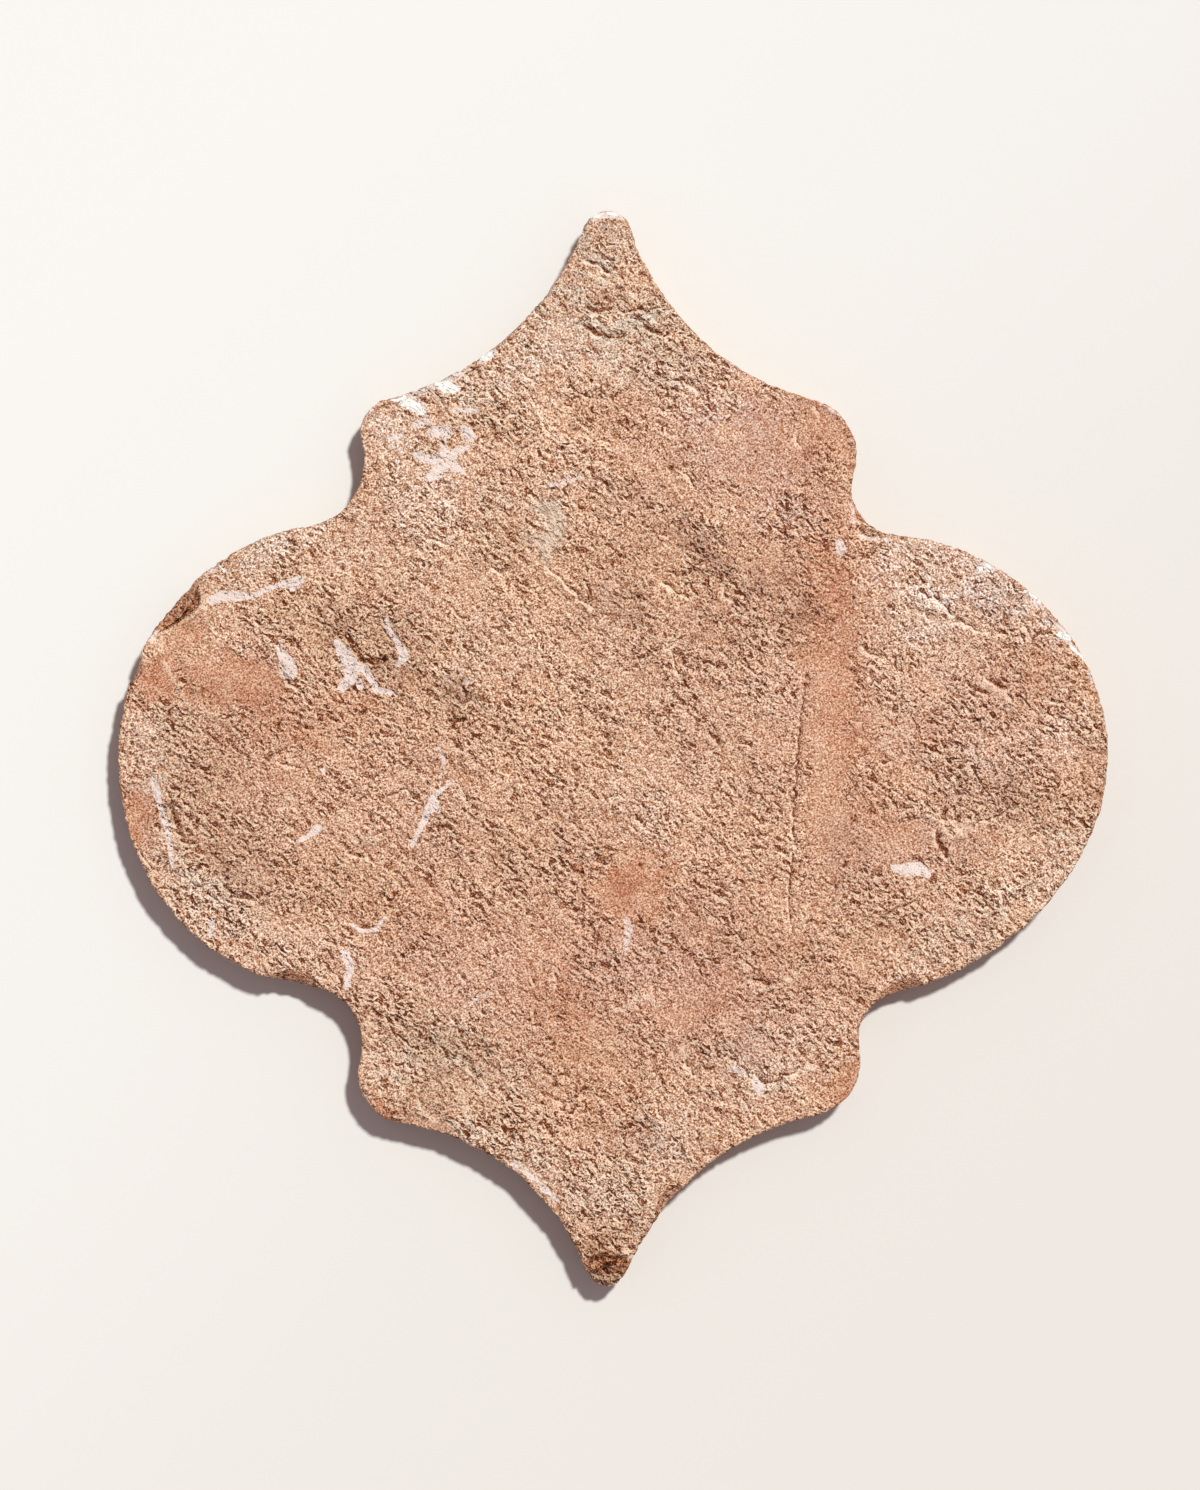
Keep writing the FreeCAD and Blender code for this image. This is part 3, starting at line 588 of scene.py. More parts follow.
def scatterPits(field):
    low, high = pits["radius"]
    shallow, deep = pits["depth"]
    for _ in range(pits["tries"]):
        x, y = anywhere()
        size, keep, squeeze, turn = rng.random(4)
        if tooSmooth(x, y, keep):
            continue
        radius = low + (high - low) * size ** pits["fewLarge"]
        depth = shallow + (deep - shallow) * size
        squeeze = 1 - pits["squeeze"] + pits["squeeze"] * squeeze
        pressDent(field, x, y, radius, depth, squeeze, turn * math.pi)


def scatterCreases(field):
    for _ in range(creases["tries"]):
        x, y = anywhere()
        length = rng.uniform(*creases["length"])
        halfWidth = rng.uniform(*creases["halfWidth"])
        depth = rng.uniform(*creases["depth"])
        heading = math.radians(dragTurn + rng.normal(0, creases["wander"]))
        bend, keep = rng.normal(0, creases["bend"]), rng.random()
        if tooSmooth(x, y, keep):
            continue
        steps = int(length / creases["step"])
        for k in range(steps):
            swell = math.sin(math.pi * (k + 0.5) / steps)
            pressDent(field, x, y, halfWidth * (0.6 + 0.4 * swell), depth * swell)
            heading += bend + rng.normal(0, creases["jitter"])
            x += creases["step"] * math.cos(heading)
            y += creases["step"] * math.sin(heading)


rough = roughness["base"] + roughness["swing"] * bandNoise(roughness["wavelength"], spread=0.6)
rough = rough + roughness["coarse"] * masks["coarse"] - masks["smooth"]
rough = np.clip(rough, roughness["least"], roughness["most"])
relief = np.zeros(sheetCells)
for name, kind in faceRelief.items():
    wave = bandNoise(kind["wavelength"], kind.get("stretch", 1), kind.get("turn", 0))
    amount = kind["height"] if name in ("swell", "humps") else kind["height"] * (0.35 + 0.85 * rough)
    relief += amount * wave
flakeWave = bandNoise(flakes["wavelength"], flakes["stretch"], dragTurn, spread=0.7)
for level in flakes["levels"]:
    relief += flakes["step"] * rough * smoothStep(flakeWave, level - flakes["edge"], level + flakes["edge"])
dents = np.zeros(sheetCells)
scatterPits(dents)
scatterCreases(dents)
relief -= dents
relief = soften(relief, reliefFinish["soften"])
relief += sum(height * masks[name] for name, height in strokeHeights.items())
relief -= np.percentile(relief, reliefFinish["highest"])
hollows = soften(relief, reliefFinish["hollowFine"]) - soften(relief, reliefFinish["hollowBroad"])
print("relief drawn, %.2f mm deep on average" % -relief.mean())


def backOutline(node):
    # the rim of the flat back, point after point, in millimetres
    mesh = node.data
    follow = {}
    for face in mesh.polygons:
        corners = [mesh.vertices[i].co for i in face.vertices]
        if max(c.z for c in corners) > 1e-6:
            continue
        names = [(round(c.x, 6), round(c.y, 6)) for c in corners]
        for a, b in zip(names, names[1:] + names[:1]):
            if follow.get(b) and a in follow[b]:
                follow[b].remove(a)
            else:
                follow.setdefault(a, []).append(b)
    start = next(a for a, nexts in follow.items() if nexts)
    loop = [start]
    while True:
        here = follow[loop[-1]][0]
        if here == start:
            break
        loop.append(here)
    loop = np.array(loop) / mm
    x, y = loop.T
    area = np.sum(x * np.roll(y, -1) - np.roll(x, -1) * y)
    return loop if area > 0 else loop[::-1]


def evenLoop(loop, count):
    # a smooth closed line through the points, dealt out evenly
    ahead = np.roll(loop, -1, 0) - loop
    span = np.linalg.norm(ahead, axis=1, keepdims=True)
    before = np.roll(span, 1, 0)
    tangent = (ahead / span * before + np.roll(ahead, 1, 0) / before * span) / (span + before)
    t = np.linspace(0, 1, 12, endpoint=False).reshape(1, -1, 1)
    p0, p1 = loop[:, None], np.roll(loop, -1, 0)[:, None]
    m0, m1 = (tangent * span)[:, None], (np.roll(tangent, -1, 0) * span)[:, None]
    curve = (2 * t**3 - 3 * t**2 + 1) * p0 + (t**3 - 2 * t**2 + t) * m0
    curve = curve + (3 * t**2 - 2 * t**3) * p1 + (t**3 - t**2) * m1
    curve = curve.reshape(-1, 2)
    closed = np.vstack([curve, curve[:1]])
    length = np.concatenate([[0], np.cumsum(np.linalg.norm(np.diff(closed, axis=0), axis=1))])
    at = np.linspace(0, length[-1], count, endpoint=False)
    return np.stack([np.interp(at, length, closed[:, k]) for k in (0, 1)], 1), length[-1]


def outwardOf(loop):
    along = np.roll(loop, -1, 0) - np.roll(loop, 1, 0)
    along /= np.linalg.norm(along, axis=1, keepdims=True)
    return np.stack([along[:, 1], -along[:, 0]], 1)


tileMesh = {
    "columns": 1300,  # round the rim
    "arrisRadius": 1.6,
    "arrisRows": 5,
    "wallHeights": (12.4, 11.3, 10.0, 8.6, 7.2, 5.8, 4.4, 3.0, 1.7, 0.6),
    "coarse": 1.15,  # spacing of the face's points, and half of it where the relief is busy
    "reach": (140, 152),  # half the length and width that the points are laid out on
    "pointMargin": 0.4,  # from the arris to the face's points
    "markMargin": 0.3,
    "triangles": 196000,
    "backTriangles": 7500,  # set aside for the back
    "backSpacing": 4.0,
    "backInset": 0.15,
    "backHollow": 0.15,
}
casting = {"start": 2.0, "reach": 40.0, "slack": 0.3, "broken": 0.2}
back = backOutline(cadTile)
lean = (cadBox[1].x - cadBox[0].x) / mm / 2 - np.ptp(back[:, 0]) / 2
back, _ = evenLoop(back, tileMesh["columns"])
edge, edgeLength = evenLoop(back + outwardOf(back) * lean, tileMesh["columns"])
outward = outwardOf(edge)
print("outline read, %.0f mm round" % edgeLength)

cadPlaces = [v.co / mm for v in cadTile.data.vertices]
solid = BVHTree.FromPolygons(cadPlaces, [tuple(p.vertices) for p in cadTile.data.polygons])


def slideIn(base, outwards):
    # how far each point slides in from outside until it meets the solid; a chip lets it go deeper
    start = casting["start"]
    reach = np.empty(len(base))
    for k, (p, d) in enumerate(zip((base + outwards * start).tolist(), (-outwards).tolist())):
        hit = solid.ray_cast(Vector(p), Vector(d), casting["reach"])
        reach[k] = hit[3] if hit[0] is not None else start
    return np.maximum(reach, start - casting["slack"])


# Relief of the sides, drawn on a sheet that wraps round the rim
sideRelief = {"waver": dict(wavelength=22, height=0.12), "drag": dict(wavelength=6, height=0.14, stretch=1.8),
              "crumbs": dict(wavelength=3, height=0.1)}
sideHighest = 80  # percent of the sides that stand below the solid's own
sideCells = (32, tileMesh["columns"])
sideStep = edgeLength / tileMesh["columns"]
sideSheet = np.zeros(sideCells)
sideWaves = waves(sideCells, sideStep)
for kind in sideRelief.values():
    sideSheet += kind["height"] * bandNoise(kind["wavelength"], kind.get("stretch", 1), waveGrid=sideWaves)
sideSheet = np.minimum(sideSheet - np.percentile(sideSheet, sideHighest), 0)

# Crumbled stretches of the rim: middle x, y, half length, how deep the bites go
crumbledEdges = [
    (100, 53, 26, 0.9), (125, 32, 16, 0.7), (133, 18, 10, 0.8), (-50, 100, 20, 0.8), (-64, 94, 8, 0.8),
    (-2, 149, 8, 0.6), (68, 74, 10, 0.9), (62, 62, 8, 0.8), (-108, 51, 8, 0.8),
]
bites = bandNoise(3.2, spread=0.5)
biteSizes = {"allRound": 0.35, "threshold": 0.3, "most": 2.5}

# Lime and pale crumbs left along the rim: middle x, y, half length, strength
rimCrumbs = [
    (-47, 100.5, 14, 1.0), (-62, 92, 7, 0.8), (-36, 109, 5, 0.9), (-2, 149, 6, 1.1), (110, 48.5, 7, 0.5),
    (120, 40, 6, 1.0), (128, 31, 6, 1.1), (134, 20, 4, 0.6), (-54, -104.5, 6, 0.4), (-128, 31.5, 3, 0.8),
    (-111, 49.5, 3, 0.8), (62, 95, 7, 0.6), (-134, 6, 6, 0.6), (-90, 56, 8, 0.5),
]
crumbSizes = {"inset": 0.9, "radius": 2.2, "least": 0.2}
for x, y, halfLength, strength in rimCrumbs:
    near = np.exp(-((edge[:, 0] - x) ** 2 + (edge[:, 1] - y) ** 2) / halfLength**2)
    for k in np.flatnonzero(near > crumbSizes["least"])[::2]:
        px, py = edge[k] - outward[k] * crumbSizes["inset"]
        pressDent(masks["lime"], px, py, crumbSizes["radius"], strength * near[k])


def biteDepth(x, y):
    # small bites all round, and deeper ones where the rim has crumbled
    deep = np.full(len(x), biteSizes["allRound"])
    for cx, cy, halfLength, depth in crumbledEdges:
        deep = np.maximum(deep, depth * np.exp(-((x - cx) ** 2 + (y - cy) ** 2) / halfLength**2))
    return deep * np.clip(readSheet(bites, x, y) - biteSizes["threshold"], 0, biteSizes["most"])


def rimRows():
    # rows from the face's margin over the arris, down the side and to the back
    radius = tileMesh["arrisRadius"]
    up = np.array([0, 0, 1.0])
    out3 = np.column_stack([outward, np.zeros(len(outward))])
    edge3 = np.column_stack([edge, np.zeros(len(edge))])
    start = casting["start"]
    rows, brokenRows = [], []
    steps = tileMesh["arrisRows"]
    for k in range(steps):
        turn = math.pi / 2 * k / (steps - 1)
        normal = out3 * math.sin(turn) + up * math.cos(turn)
        level = tileTop - radius + radius * math.cos(turn)
        base = edge3 - out3 * radius * (1 - math.sin(turn)) + up * level
        reach = slideIn(base, normal)
        side = -sideSheet[sideCells[0] // 2] * math.sin(turn) ** 2
        face = -readSheet(relief, base[:, 0], base[:, 1]) * math.cos(turn) ** 2
        bite = biteDepth(base[:, 0], base[:, 1]) * (0.35 + 0.65 * math.sin(2 * turn))
        rows.append(base + normal * (start - reach - side - face - bite)[:, None])
        brokenRows.append(reach - start)
    for height in tileMesh["wallHeights"]:
        base = edge3 + up * height
        reach = slideIn(base, out3)
        side = -sideSheet[int(sideCells[0] / 2 + height / sideStep) % sideCells[0]]
        bite = biteDepth(base[:, 0], base[:, 1]) * max(0, height / tileTop - 0.5)
        rows.append(base + out3 * (start - reach - side - bite)[:, None])
        expected = start + lean * (1 - height / tileTop)
        brokenRows.append(np.maximum(reach - expected - casting["broken"], 0))
    rows.append(np.column_stack([back - outwardOf(back) * tileMesh["backInset"], np.zeros(len(back))]))
    brokenRows.append(np.zeros(len(back)))
    return rows, brokenRows


rows, brokenRows = rimRows()
faceRing = edge - outward * tileMesh["arrisRadius"]
print("rim built, %d rows" % len(rows))


def insideLoop(loop, x, y):
    # even-odd test against a closed line, row by row
    inside = np.zeros(len(x), bool)
    for (x0, y0), (x1, y1) in zip(loop, np.roll(loop, -1, 0)):
        crosses = (y0 > y) != (y1 > y)
        if crosses.any():
            inside ^= crosses & (x < x0 + (x1 - x0) * (y - y0) / (y1 - y0 + 1e-12))
    return inside


# the share of the depth also sets how much painted shade each point takes
grooveRows = {
    "narrow": ((-1, 0), (0, 1), (1, 0)),  # across a groove: place and share of its depth
    "wide": ((-1, 0), (-0.5, 0.8), (0, 1), (0.5, 0.8), (1, 0)),
}
grooveCut = {"spacing": 0.45, "wander": 0.25, "runOut": 1.2, "ends": 0.3, "wideFrom": 0.6, "highlightLip": 1.3,
             "margin": 0.35}
# the share of the depth is also the ring's painted shade
holeRings = ((1, 9, 0), (0.62, 7, 0.75), (0, 1, 1))  # share of the radius, points, share of the depth
holeCut = {"uneven": (0.8, 1.2), "highlightLip": 0.35, "margin": 0.4}
sunward = np.array([0.576, 0.817])  # the way to the light, in the face's plane
wander = bandNoise(4.0), bandNoise(4.0)
taken = np.zeros(sheetCells)


def groovePoints():
    # the floor and lips of each groove, as x, y, depth and painted shade; the floor takes painted shade, and
    # the lips that face the light a painted highlight
    made = []
    for points, halfWidth, depth in grooves:
        line, at = evenLine(points, grooveCut["spacing"])
        astray = np.column_stack([readSheet(field, *line.T) for field in wander])
        line = line + grooveCut["wander"] * astray
        along = np.gradient(line, axis=0)
        aside = np.column_stack([-along[:, 1], along[:, 0]]) / np.linalg.norm(along, axis=1, keepdims=True)
        taper = np.clip(np.minimum(at, at[-1] - at) / grooveCut["runOut"] + grooveCut["ends"], 0, 1)
        for offset, share in grooveRows["wide" if halfWidth > grooveCut["wideFrom"] else "narrow"]:
            place = line + aside * (offset * halfWidth * taper)[:, None]
            # a painted highlight on the lip that faces the light, given as negative shade
            paintedHighlight = grooveCut["highlightLip"] * np.minimum(offset * (aside @ sunward), 0)
            made.append(np.column_stack([place, share * depth * taper, share * taper if share else paintedHighlight]))
        for x, y in line:
            pressDent(taken, x, y, halfWidth + grooveCut["margin"], 1.0)
    return made


def holePoints():
    made = []
    for x, y, radius, depth in holes:
        for share, count, deep in holeRings:
            turn = 2 * math.pi * (np.arange(count) + rng.random()) / count
            reach = radius * share * rng.uniform(*holeCut["uneven"], count)
            place = np.column_stack([x + reach * np.cos(turn), y + reach * np.sin(turn)])
            # the inner rings take painted shade, and the outer ring a painted highlight on the side that
            # faces the light
            paintedHighlight = holeCut["highlightLip"] * np.minimum(np.cos(turn) * sunward[0] + np.sin(turn) * sunward[1], 0)
            paintedShadeAndHighlight = np.full(count, deep) if deep else paintedHighlight
            made.append(np.column_stack([place, np.full(count, deep * depth), paintedShadeAndHighlight]))
        pressDent(taken, x, y, radius + holeCut["margin"], 1.0)
    return made


def facePoints(count):
    # a grid of triangles: every wide point of it, and the points between where the relief is busiest
    spacing = tileMesh["coarse"] / 2
    rowStep = spacing * math.sqrt(3) / 2
    reachX, reachY = int(tileMesh["reach"][0] / spacing) + 2, int(tileMesh["reach"][1] / rowStep) + 2
    j, i = np.meshgrid(np.arange(-reachY, reachY + 1), np.arange(-reachX, reachX + 1), indexing="ij")
    x, y = ((i + 0.5 * (j % 2)) * spacing).ravel(), (j * rowStep).ravel()
    wide = ((j % 2 == 0) & ((i + (j // 2) % 2) % 2 == 0)).ravel()
    margin = edge - outward * (tileMesh["arrisRadius"] + tileMesh["pointMargin"])
    inside = insideLoop(margin[::2], x, y)
    inside[inside] = readSheet(taken, x[inside], y[inside]) < 0.02
    x, y, wide = x[inside], y[inside], wide[inside]
    busy = soften(np.abs(hollows - soften(hollows, 0.7)), 0.3)
    need = readSheet(busy, x, y)
    need[wide] = np.inf
    keep = np.argsort(-need, kind="stable")[:count]
    return x[keep], y[keep]


ringCount = tileMesh["columns"]
rimTriangles = 2 * ringCount * (len(rows) - 1)
faceCount = (tileMesh["triangles"] - rimTriangles - tileMesh["backTriangles"] - ringCount) // 2
marks = np.vstack(groovePoints() + holePoints())
markLimit = edge - outward * (tileMesh["arrisRadius"] + tileMesh["markMargin"])
marks = marks[insideLoop(markLimit, marks[:, 0], marks[:, 1])]
faceX, faceY = facePoints(faceCount - len(marks))
faceX, faceY = np.concatenate([faceX, marks[:, 0]]), np.concatenate([faceY, marks[:, 1]])
# the marks' depth, and the painted shade of their floors and painted highlight of their lips
sunk, paintedShadeAndHighlight = [np.concatenate([np.zeros(len(faceX) - len(marks)), marks[:, k]]) for k in (2, 3)]
print("face points chosen: %d" % len(faceX))


def fillLoop(ring, x, y):
    # triangles between a closed ring and the points within it, as indices of ring then points
    flat = np.vstack([ring, np.column_stack([x, y])])
    rim = [(k, (k + 1) % len(ring)) for k in range(len(ring))]
    places = [Vector(p) for p in flat.tolist()]
    _, _, faces, originals, _, _ = delaunay_2d_cdt(places, rim, [], 1, 1e-7, True)
    faces = np.array([o[0] for o in originals])[np.array(faces)]
    middles = flat[faces].mean(axis=1)
    bridging = (faces < len(ring)).all(axis=1)
    keep = ~bridging
    keep[bridging] = insideLoop(ring, *middles[bridging].T)
    return faces[keep]


def layFace():
    level = np.column_stack([faceX, faceY, np.full(len(faceX), tileTop)])
    broken = slideIn(level, np.tile([0, 0, 1.0], (len(faceX), 1))) - casting["start"]
    height = tileTop - broken + readSheet(relief, faceX, faceY) - sunk
    return np.column_stack([faceX, faceY, height]), broken


facePlaces, faceBroken = layFace()
faceTriangles = fillLoop(faceRing, faceX, faceY)


def layBack():
    spacing = tileMesh["backSpacing"]
    x, y = [a.ravel() for a in np.meshgrid(*[np.arange(-r, r, spacing) for r in tileMesh["reach"]])]
    ring = rows[-1][:, :2]
    inside = insideLoop((ring - outwardOf(ring) * spacing * 0.5)[::3], x, y)
    x, y = x[inside], y[inside]
    return x, y, fillLoop(ring, x, y)


backX, backY, backTriangles = layBack()
rimPoints = ringCount * len(rows)


def buildTile():
    # joins face, rim and back into one closed mesh
    backPlaces = np.column_stack([backX, backY, np.full(len(backX), tileMesh["backHollow"])])
    places = np.vstack(rows + [facePlaces, backPlaces])
    low, high = np.array(cadBox[0]) / mm, np.array(cadBox[1]) / mm
    places = np.clip(places, low, high)
    n = ringCount
    backStart = rimPoints + len(facePlaces)
    index = np.arange(n)
    quads = []
    for r in range(len(rows) - 1):
        a, b = r * n + index, r * n + (index + 1) % n
        quads.append(np.column_stack([a, a + n, b + n, b]))
    top = np.where(faceTriangles < n, faceTriangles, faceTriangles - n + rimPoints)
    bottom = np.where(backTriangles < n, backTriangles + rimPoints - n, backTriangles - n + backStart)
    bottom = bottom[:, ::-1]
    mesh = bpy.data.meshes.new("clayTile")
    faces = [q for block in quads for q in block.tolist()] + top.tolist() + bottom.tolist()
    mesh.from_pydata((places * mm).tolist(), [], faces)
    mesh.polygons.foreach_set("use_smooth", [True] * len(mesh.polygons))
    tile = bpy.data.objects.new("clayTile", mesh)
    bpy.context.scene.collection.objects.link(tile)
    return tile, places


tile, places = buildTile()
print("tile mesh: %d points, %d faces" % (len(tile.data.vertices), len(tile.data.polygons)))


def paint(mesh, name, values):
    mesh.attributes.new(name, "FLOAT", "POINT").data.foreach_set("value", values.astype(np.float32))


# patches fade to a share of themselves on the sides, and strokes to nothing
painting = {"fadeFrom": 3.2, "fadeTo": 1.3, "patchesOnSides": 0.3, "broken": (0.12, 0.5), "scar": 0.75}
plan = places[:, 0], places[:, 1]
nearFace = smoothStep(places[:, 2], tileTop - painting["fadeFrom"], tileTop - painting["fadeTo"])
for name, mask in masks.items():
    onSides = 0.0 if name in strokeKinds else painting["patchesOnSides"]
    paint(tile.data, name, readSheet(mask, *plan) * (onSides + (1 - onSides) * nearFace))
onFace = np.zeros(len(places))
onFace[:ringCount] = 1
onFace[rimPoints:rimPoints + len(facePlaces)] = 1
# the relief's hollows painted darker and its crests lighter, as painted shade and painted highlight
paint(tile.data, "hollowShadeAndHighlight", readSheet(hollows, *plan) * onFace)
# painted shade in the floors of the grooves and holes, and painted highlight on their lips that face the
# light
paint(tile.data, "paintedShadeAndHighlight", np.concatenate([np.zeros(rimPoints), paintedShadeAndHighlight, np.zeros(len(backX))]))
broken = smoothStep(np.concatenate(brokenRows + [faceBroken, np.zeros(len(backX))]), *painting["broken"])
paint(tile.data, "broken", np.maximum(broken, painting["scar"] * readSheet(masks["scar"], *plan)))

# Colours are plain linear red, green and blue; the tints multiply the clay's own
clay = {
    # pit and shade are the darkest colours, reached mostly through painted shade; crest serves both paler
    # clay and painted highlight
    "pit": (0.15, 0.040, 0.014),
    "shade": (0.41, 0.185, 0.095),
    "body": (0.566, 0.345, 0.236),
    "crest": (0.82, 0.62, 0.46),
    "lime": (0.74, 0.625, 0.575),
    "chalk": (0.83, 0.78, 0.73),
    "film": (0.66, 0.55, 0.45),
}
tints = {
    "dusty": (0.965, 0.94, 0.97),
    "tan": (0.96, 0.975, 1.02),
    "brick": (0.89, 0.74, 0.67),
    "umber": (0.76, 0.70, 0.62),
    "grime": (0.63, 0.56, 0.56),
    "rose": (0.90, 0.91, 1.0),
    "sand": (1.00, 1.13, 1.26),
    "pale": (1.11, 1.20, 1.29),
    "dun": (0.84, 0.80, 0.80),
    "ash": (0.86, 0.95, 1.02),
    "broken": (0.88, 0.74, 0.68),
    "bare": (0.94, 0.90, 0.90),
}


class Shader:
    # a few short names for the nodes that the clay and the floor are made of
    def __init__(self, name):
        self.material = bpy.data.materials.new(name)
        self.material.use_nodes = True
        self.tree = self.material.node_tree
        self.nodes = self.tree.nodes
        self.surface = self.nodes["Principled BSDF"]
        self.place = self.nodes.new("ShaderNodeTexCoord").outputs["Object"]

    def feed(self, socket, value):
        if isinstance(value, bpy.types.NodeSocket):
            self.tree.links.new(value, socket)
        elif isinstance(value, tuple) and len(value) == 3 and socket.type == "RGBA":
            socket.default_value = (*value, 1)
        else:
            socket.default_value = value

    def math(self, operation, a, b=0.0, c=0.0, clamp=False):
        made = self.nodes.new("ShaderNodeMath")
        made.operation = operation
        made.use_clamp = clamp
        for socket, value in zip(made.inputs, (a, b, c)):
            self.feed(socket, value)
        return made.outputs[0]

    def vector(self, operation, a, b, c=(0.0, 0.0, 0.0)):
        made = self.nodes.new("ShaderNodeVectorMath")
        made.operation = operation
        for socket, value in zip(made.inputs, (a, b, c)):
            self.feed(socket, value)
        return made.outputs[0]

    def ease(self, value, low, high, start=0.0, end=1.0):
        made = self.nodes.new("ShaderNodeMapRange")
        made.interpolation_type = "SMOOTHSTEP"
        names = ("Value", "From Min", "From Max", "To Min", "To Max")
        for name, given in zip(names, (value, low, high, start, end)):
            self.feed(made.inputs[name], given)
        return made.outputs[0]

    def blend(self, amount, a, b, mode="MIX"):
        made = self.nodes.new("ShaderNodeMix")
        made.data_type = "RGBA"
        made.blend_type = mode
        self.feed(made.inputs[0], amount)
        self.feed(made.inputs[6], a)
        self.feed(made.inputs[7], b)
        return made.outputs[2]

    def turned(self, turn, stretch, shift=0.0, where=None, lee=0.0):
        # coordinates drawn out along a direction of the face, and moved away from the light by the lee
        made = self.nodes.new("ShaderNodeMapping")
        made.vector_type = "TEXTURE"
        self.feed(made.inputs["Vector"], where or self.place)
        offLight = sunward * lee * mm
        made.inputs["Location"].default_value = (shift - offLight[0], shift * 0.7 - offLight[1], 0)
        made.inputs["Rotation"].default_value = (0, 0, math.radians(turn))
        made.inputs["Scale"].default_value = (stretch, 1, 1)
        return made.outputs[0]

    def noise(self, wavelength, detail=2.0, roughness=0.5, where=None, output="Fac"):
        made = self.nodes.new("ShaderNodeTexNoise")
        self.feed(made.inputs["Vector"], self.tipped(where or self.place))
        made.inputs["Scale"].default_value = 1 / (wavelength * mm)
        made.inputs["Detail"].default_value = detail
        made.inputs["Roughness"].default_value = roughness
        return made.outputs[output]

    def tipped(self, where):
        # noise is stronger and weaker by layers, so its layers are tipped out of the face's plane
        made = self.nodes.new("ShaderNodeMapping")
        self.feed(made.inputs["Vector"], where)
        made.inputs["Rotation"].default_value = (0.61, 0.47, 0.0)
        return made.outputs[0]

    def wandering(self, wavelength, amount):
        # coordinates pushed about, so that no mark is a clean circle
        push = self.vector("SUBTRACT", self.noise(wavelength, 1.0, 0.5, output="Color"), (0.5, 0.5, 0.5))
        return self.vector("MULTIPLY_ADD", push, (amount * mm, amount * mm, 0.0), self.place)

    def centred(self, noise):
        return self.math("SUBTRACT", noise, 0.5)

    def sumOf(self, start, parts, shares):
        # adds up the parts, each times its share
        for name, share in shares.items():
            start = self.math("MULTIPLY_ADD", parts[name], share, start)
        return start

    def painted(self, name):
        made = self.nodes.new("ShaderNodeAttribute")
        made.attribute_name = name
        return made.outputs["Fac"]

    def bump(self, height, distance):
        made = self.nodes.new("ShaderNodeBump")
        self.feed(made.inputs["Height"], height)
        made.inputs["Distance"].default_value = distance
        self.tree.links.new(made.outputs[0], self.surface.inputs["Normal"])

    def finish(self, colour, roughness, gloss):
        self.feed(self.surface.inputs["Base Color"], colour)
        self.surface.inputs["Roughness"].default_value = roughness
        self.surface.inputs["Specular IOR Level"].default_value = gloss


# Noises of the clay: wavelength in millimetres, and turn is how far it is turned off the drag
clayNoises = {
    "fray": dict(wavelength=4.0, detail=3.0, roughness=0.6),
    "region": dict(wavelength=11.0, detail=3.0, roughness=0.6, turn=0, stretch=1.7, shift=0.11),
    "grain": dict(wavelength=0.5, detail=1.0, roughness=0.6),
    "crumb": dict(wavelength=1.3, detail=0.0, roughness=0.5, turn=0, stretch=1.35, shift=0.0),
    "lump": dict(wavelength=3.6, detail=0.0, roughness=0.5, turn=0, stretch=1.35, shift=0.0),
    "gap": dict(wavelength=3.0, detail=2.0, roughness=0.5, turn=10, stretch=1.5, shift=0.047),
    "scale": dict(wavelength=3.0, detail=2.0, roughness=0.45, turn=15, stretch=1.6, shift=0.083),
    "pit": dict(wavelength=1.05, detail=0.0, roughness=0.5, turn=25, stretch=1.2, shift=0.017),
    "gouge": dict(wavelength=1.1, detail=0.0, roughness=0.5, turn=0, stretch=2.6, shift=0.031),
    "crust": dict(wavelength=1.5, detail=1.0, roughness=0.5, turn=-10, stretch=1.5, shift=0.071),
    "drift": dict(wavelength=10.0, detail=4.0, roughness=0.6),
    "torn": dict(wavelength=3.0, detail=3.0, roughness=0.6),
    "ragged": dict(wavelength=2.4, detail=4.0, roughness=0.7),
    "dry": dict(wavelength=1.6, detail=2.0, roughness=0.6),
    "thin": dict(wavelength=2.0, detail=3.0, roughness=0.6),
}
# Where a noise or a mask begins to count and where it counts in full, and from and to which share
clayEdges = {
    "bare": (0.38, 0.5),
    "calm": (0.25, 0.6, 0.0, 0.85),
    "region": (0.36, 0.62, 0.41, 1.07),
    "crustLow": (0.36, 0.43),
    "crustHigh": (0.52, 0.59),
    "scaleLow": (0.40, 0.46),
    "scaleHigh": (0.56, 0.62),
    "holeShade": (0.32, 0.28),
    "holeGap": (0.26, 0.23),
    "dent": (0.37, 0.28),
    "dentGap": (0.31, 0.23),
    "highlightLee": (0.36, 0.29),
    "highlightMark": (0.37, 0.32),
    "drift": (0.3, 0.62, 0.35, 1.25),
    "torn": (0.35, 0.65),
    "lime": (0.41, 0.61),
    "limeLevel": (0.15, 0.5),
    "chalk": (0.4, 0.55),
    "film": (0.3, 0.6, 0.4, 1.0),
}
clayShares = {"bareCalm": 0.93, "limeCalm": 0.5, "coarse": 0.52, "rough": 0.75, "lime": 0.85, "film": 0.8}
clayFrays = {"bare": 0.6, "smooth": 0.6, "broken": 0.7, "lime": 0.8, "chalk": 1.0}
clayWander = {"wavelength": 3.0, "amount": 1.6}
# how far the marks and the crust are read off the light, for the painted highlight and shade beside them
clayLee = {"marks": 0.55, "crust": 0.4}  # millimetres
clayHeights = {"dent": -0.55, "crumb": 0.6, "scales": 0.3, "crust": 0.18, "grain": 0.35}  # millimetres
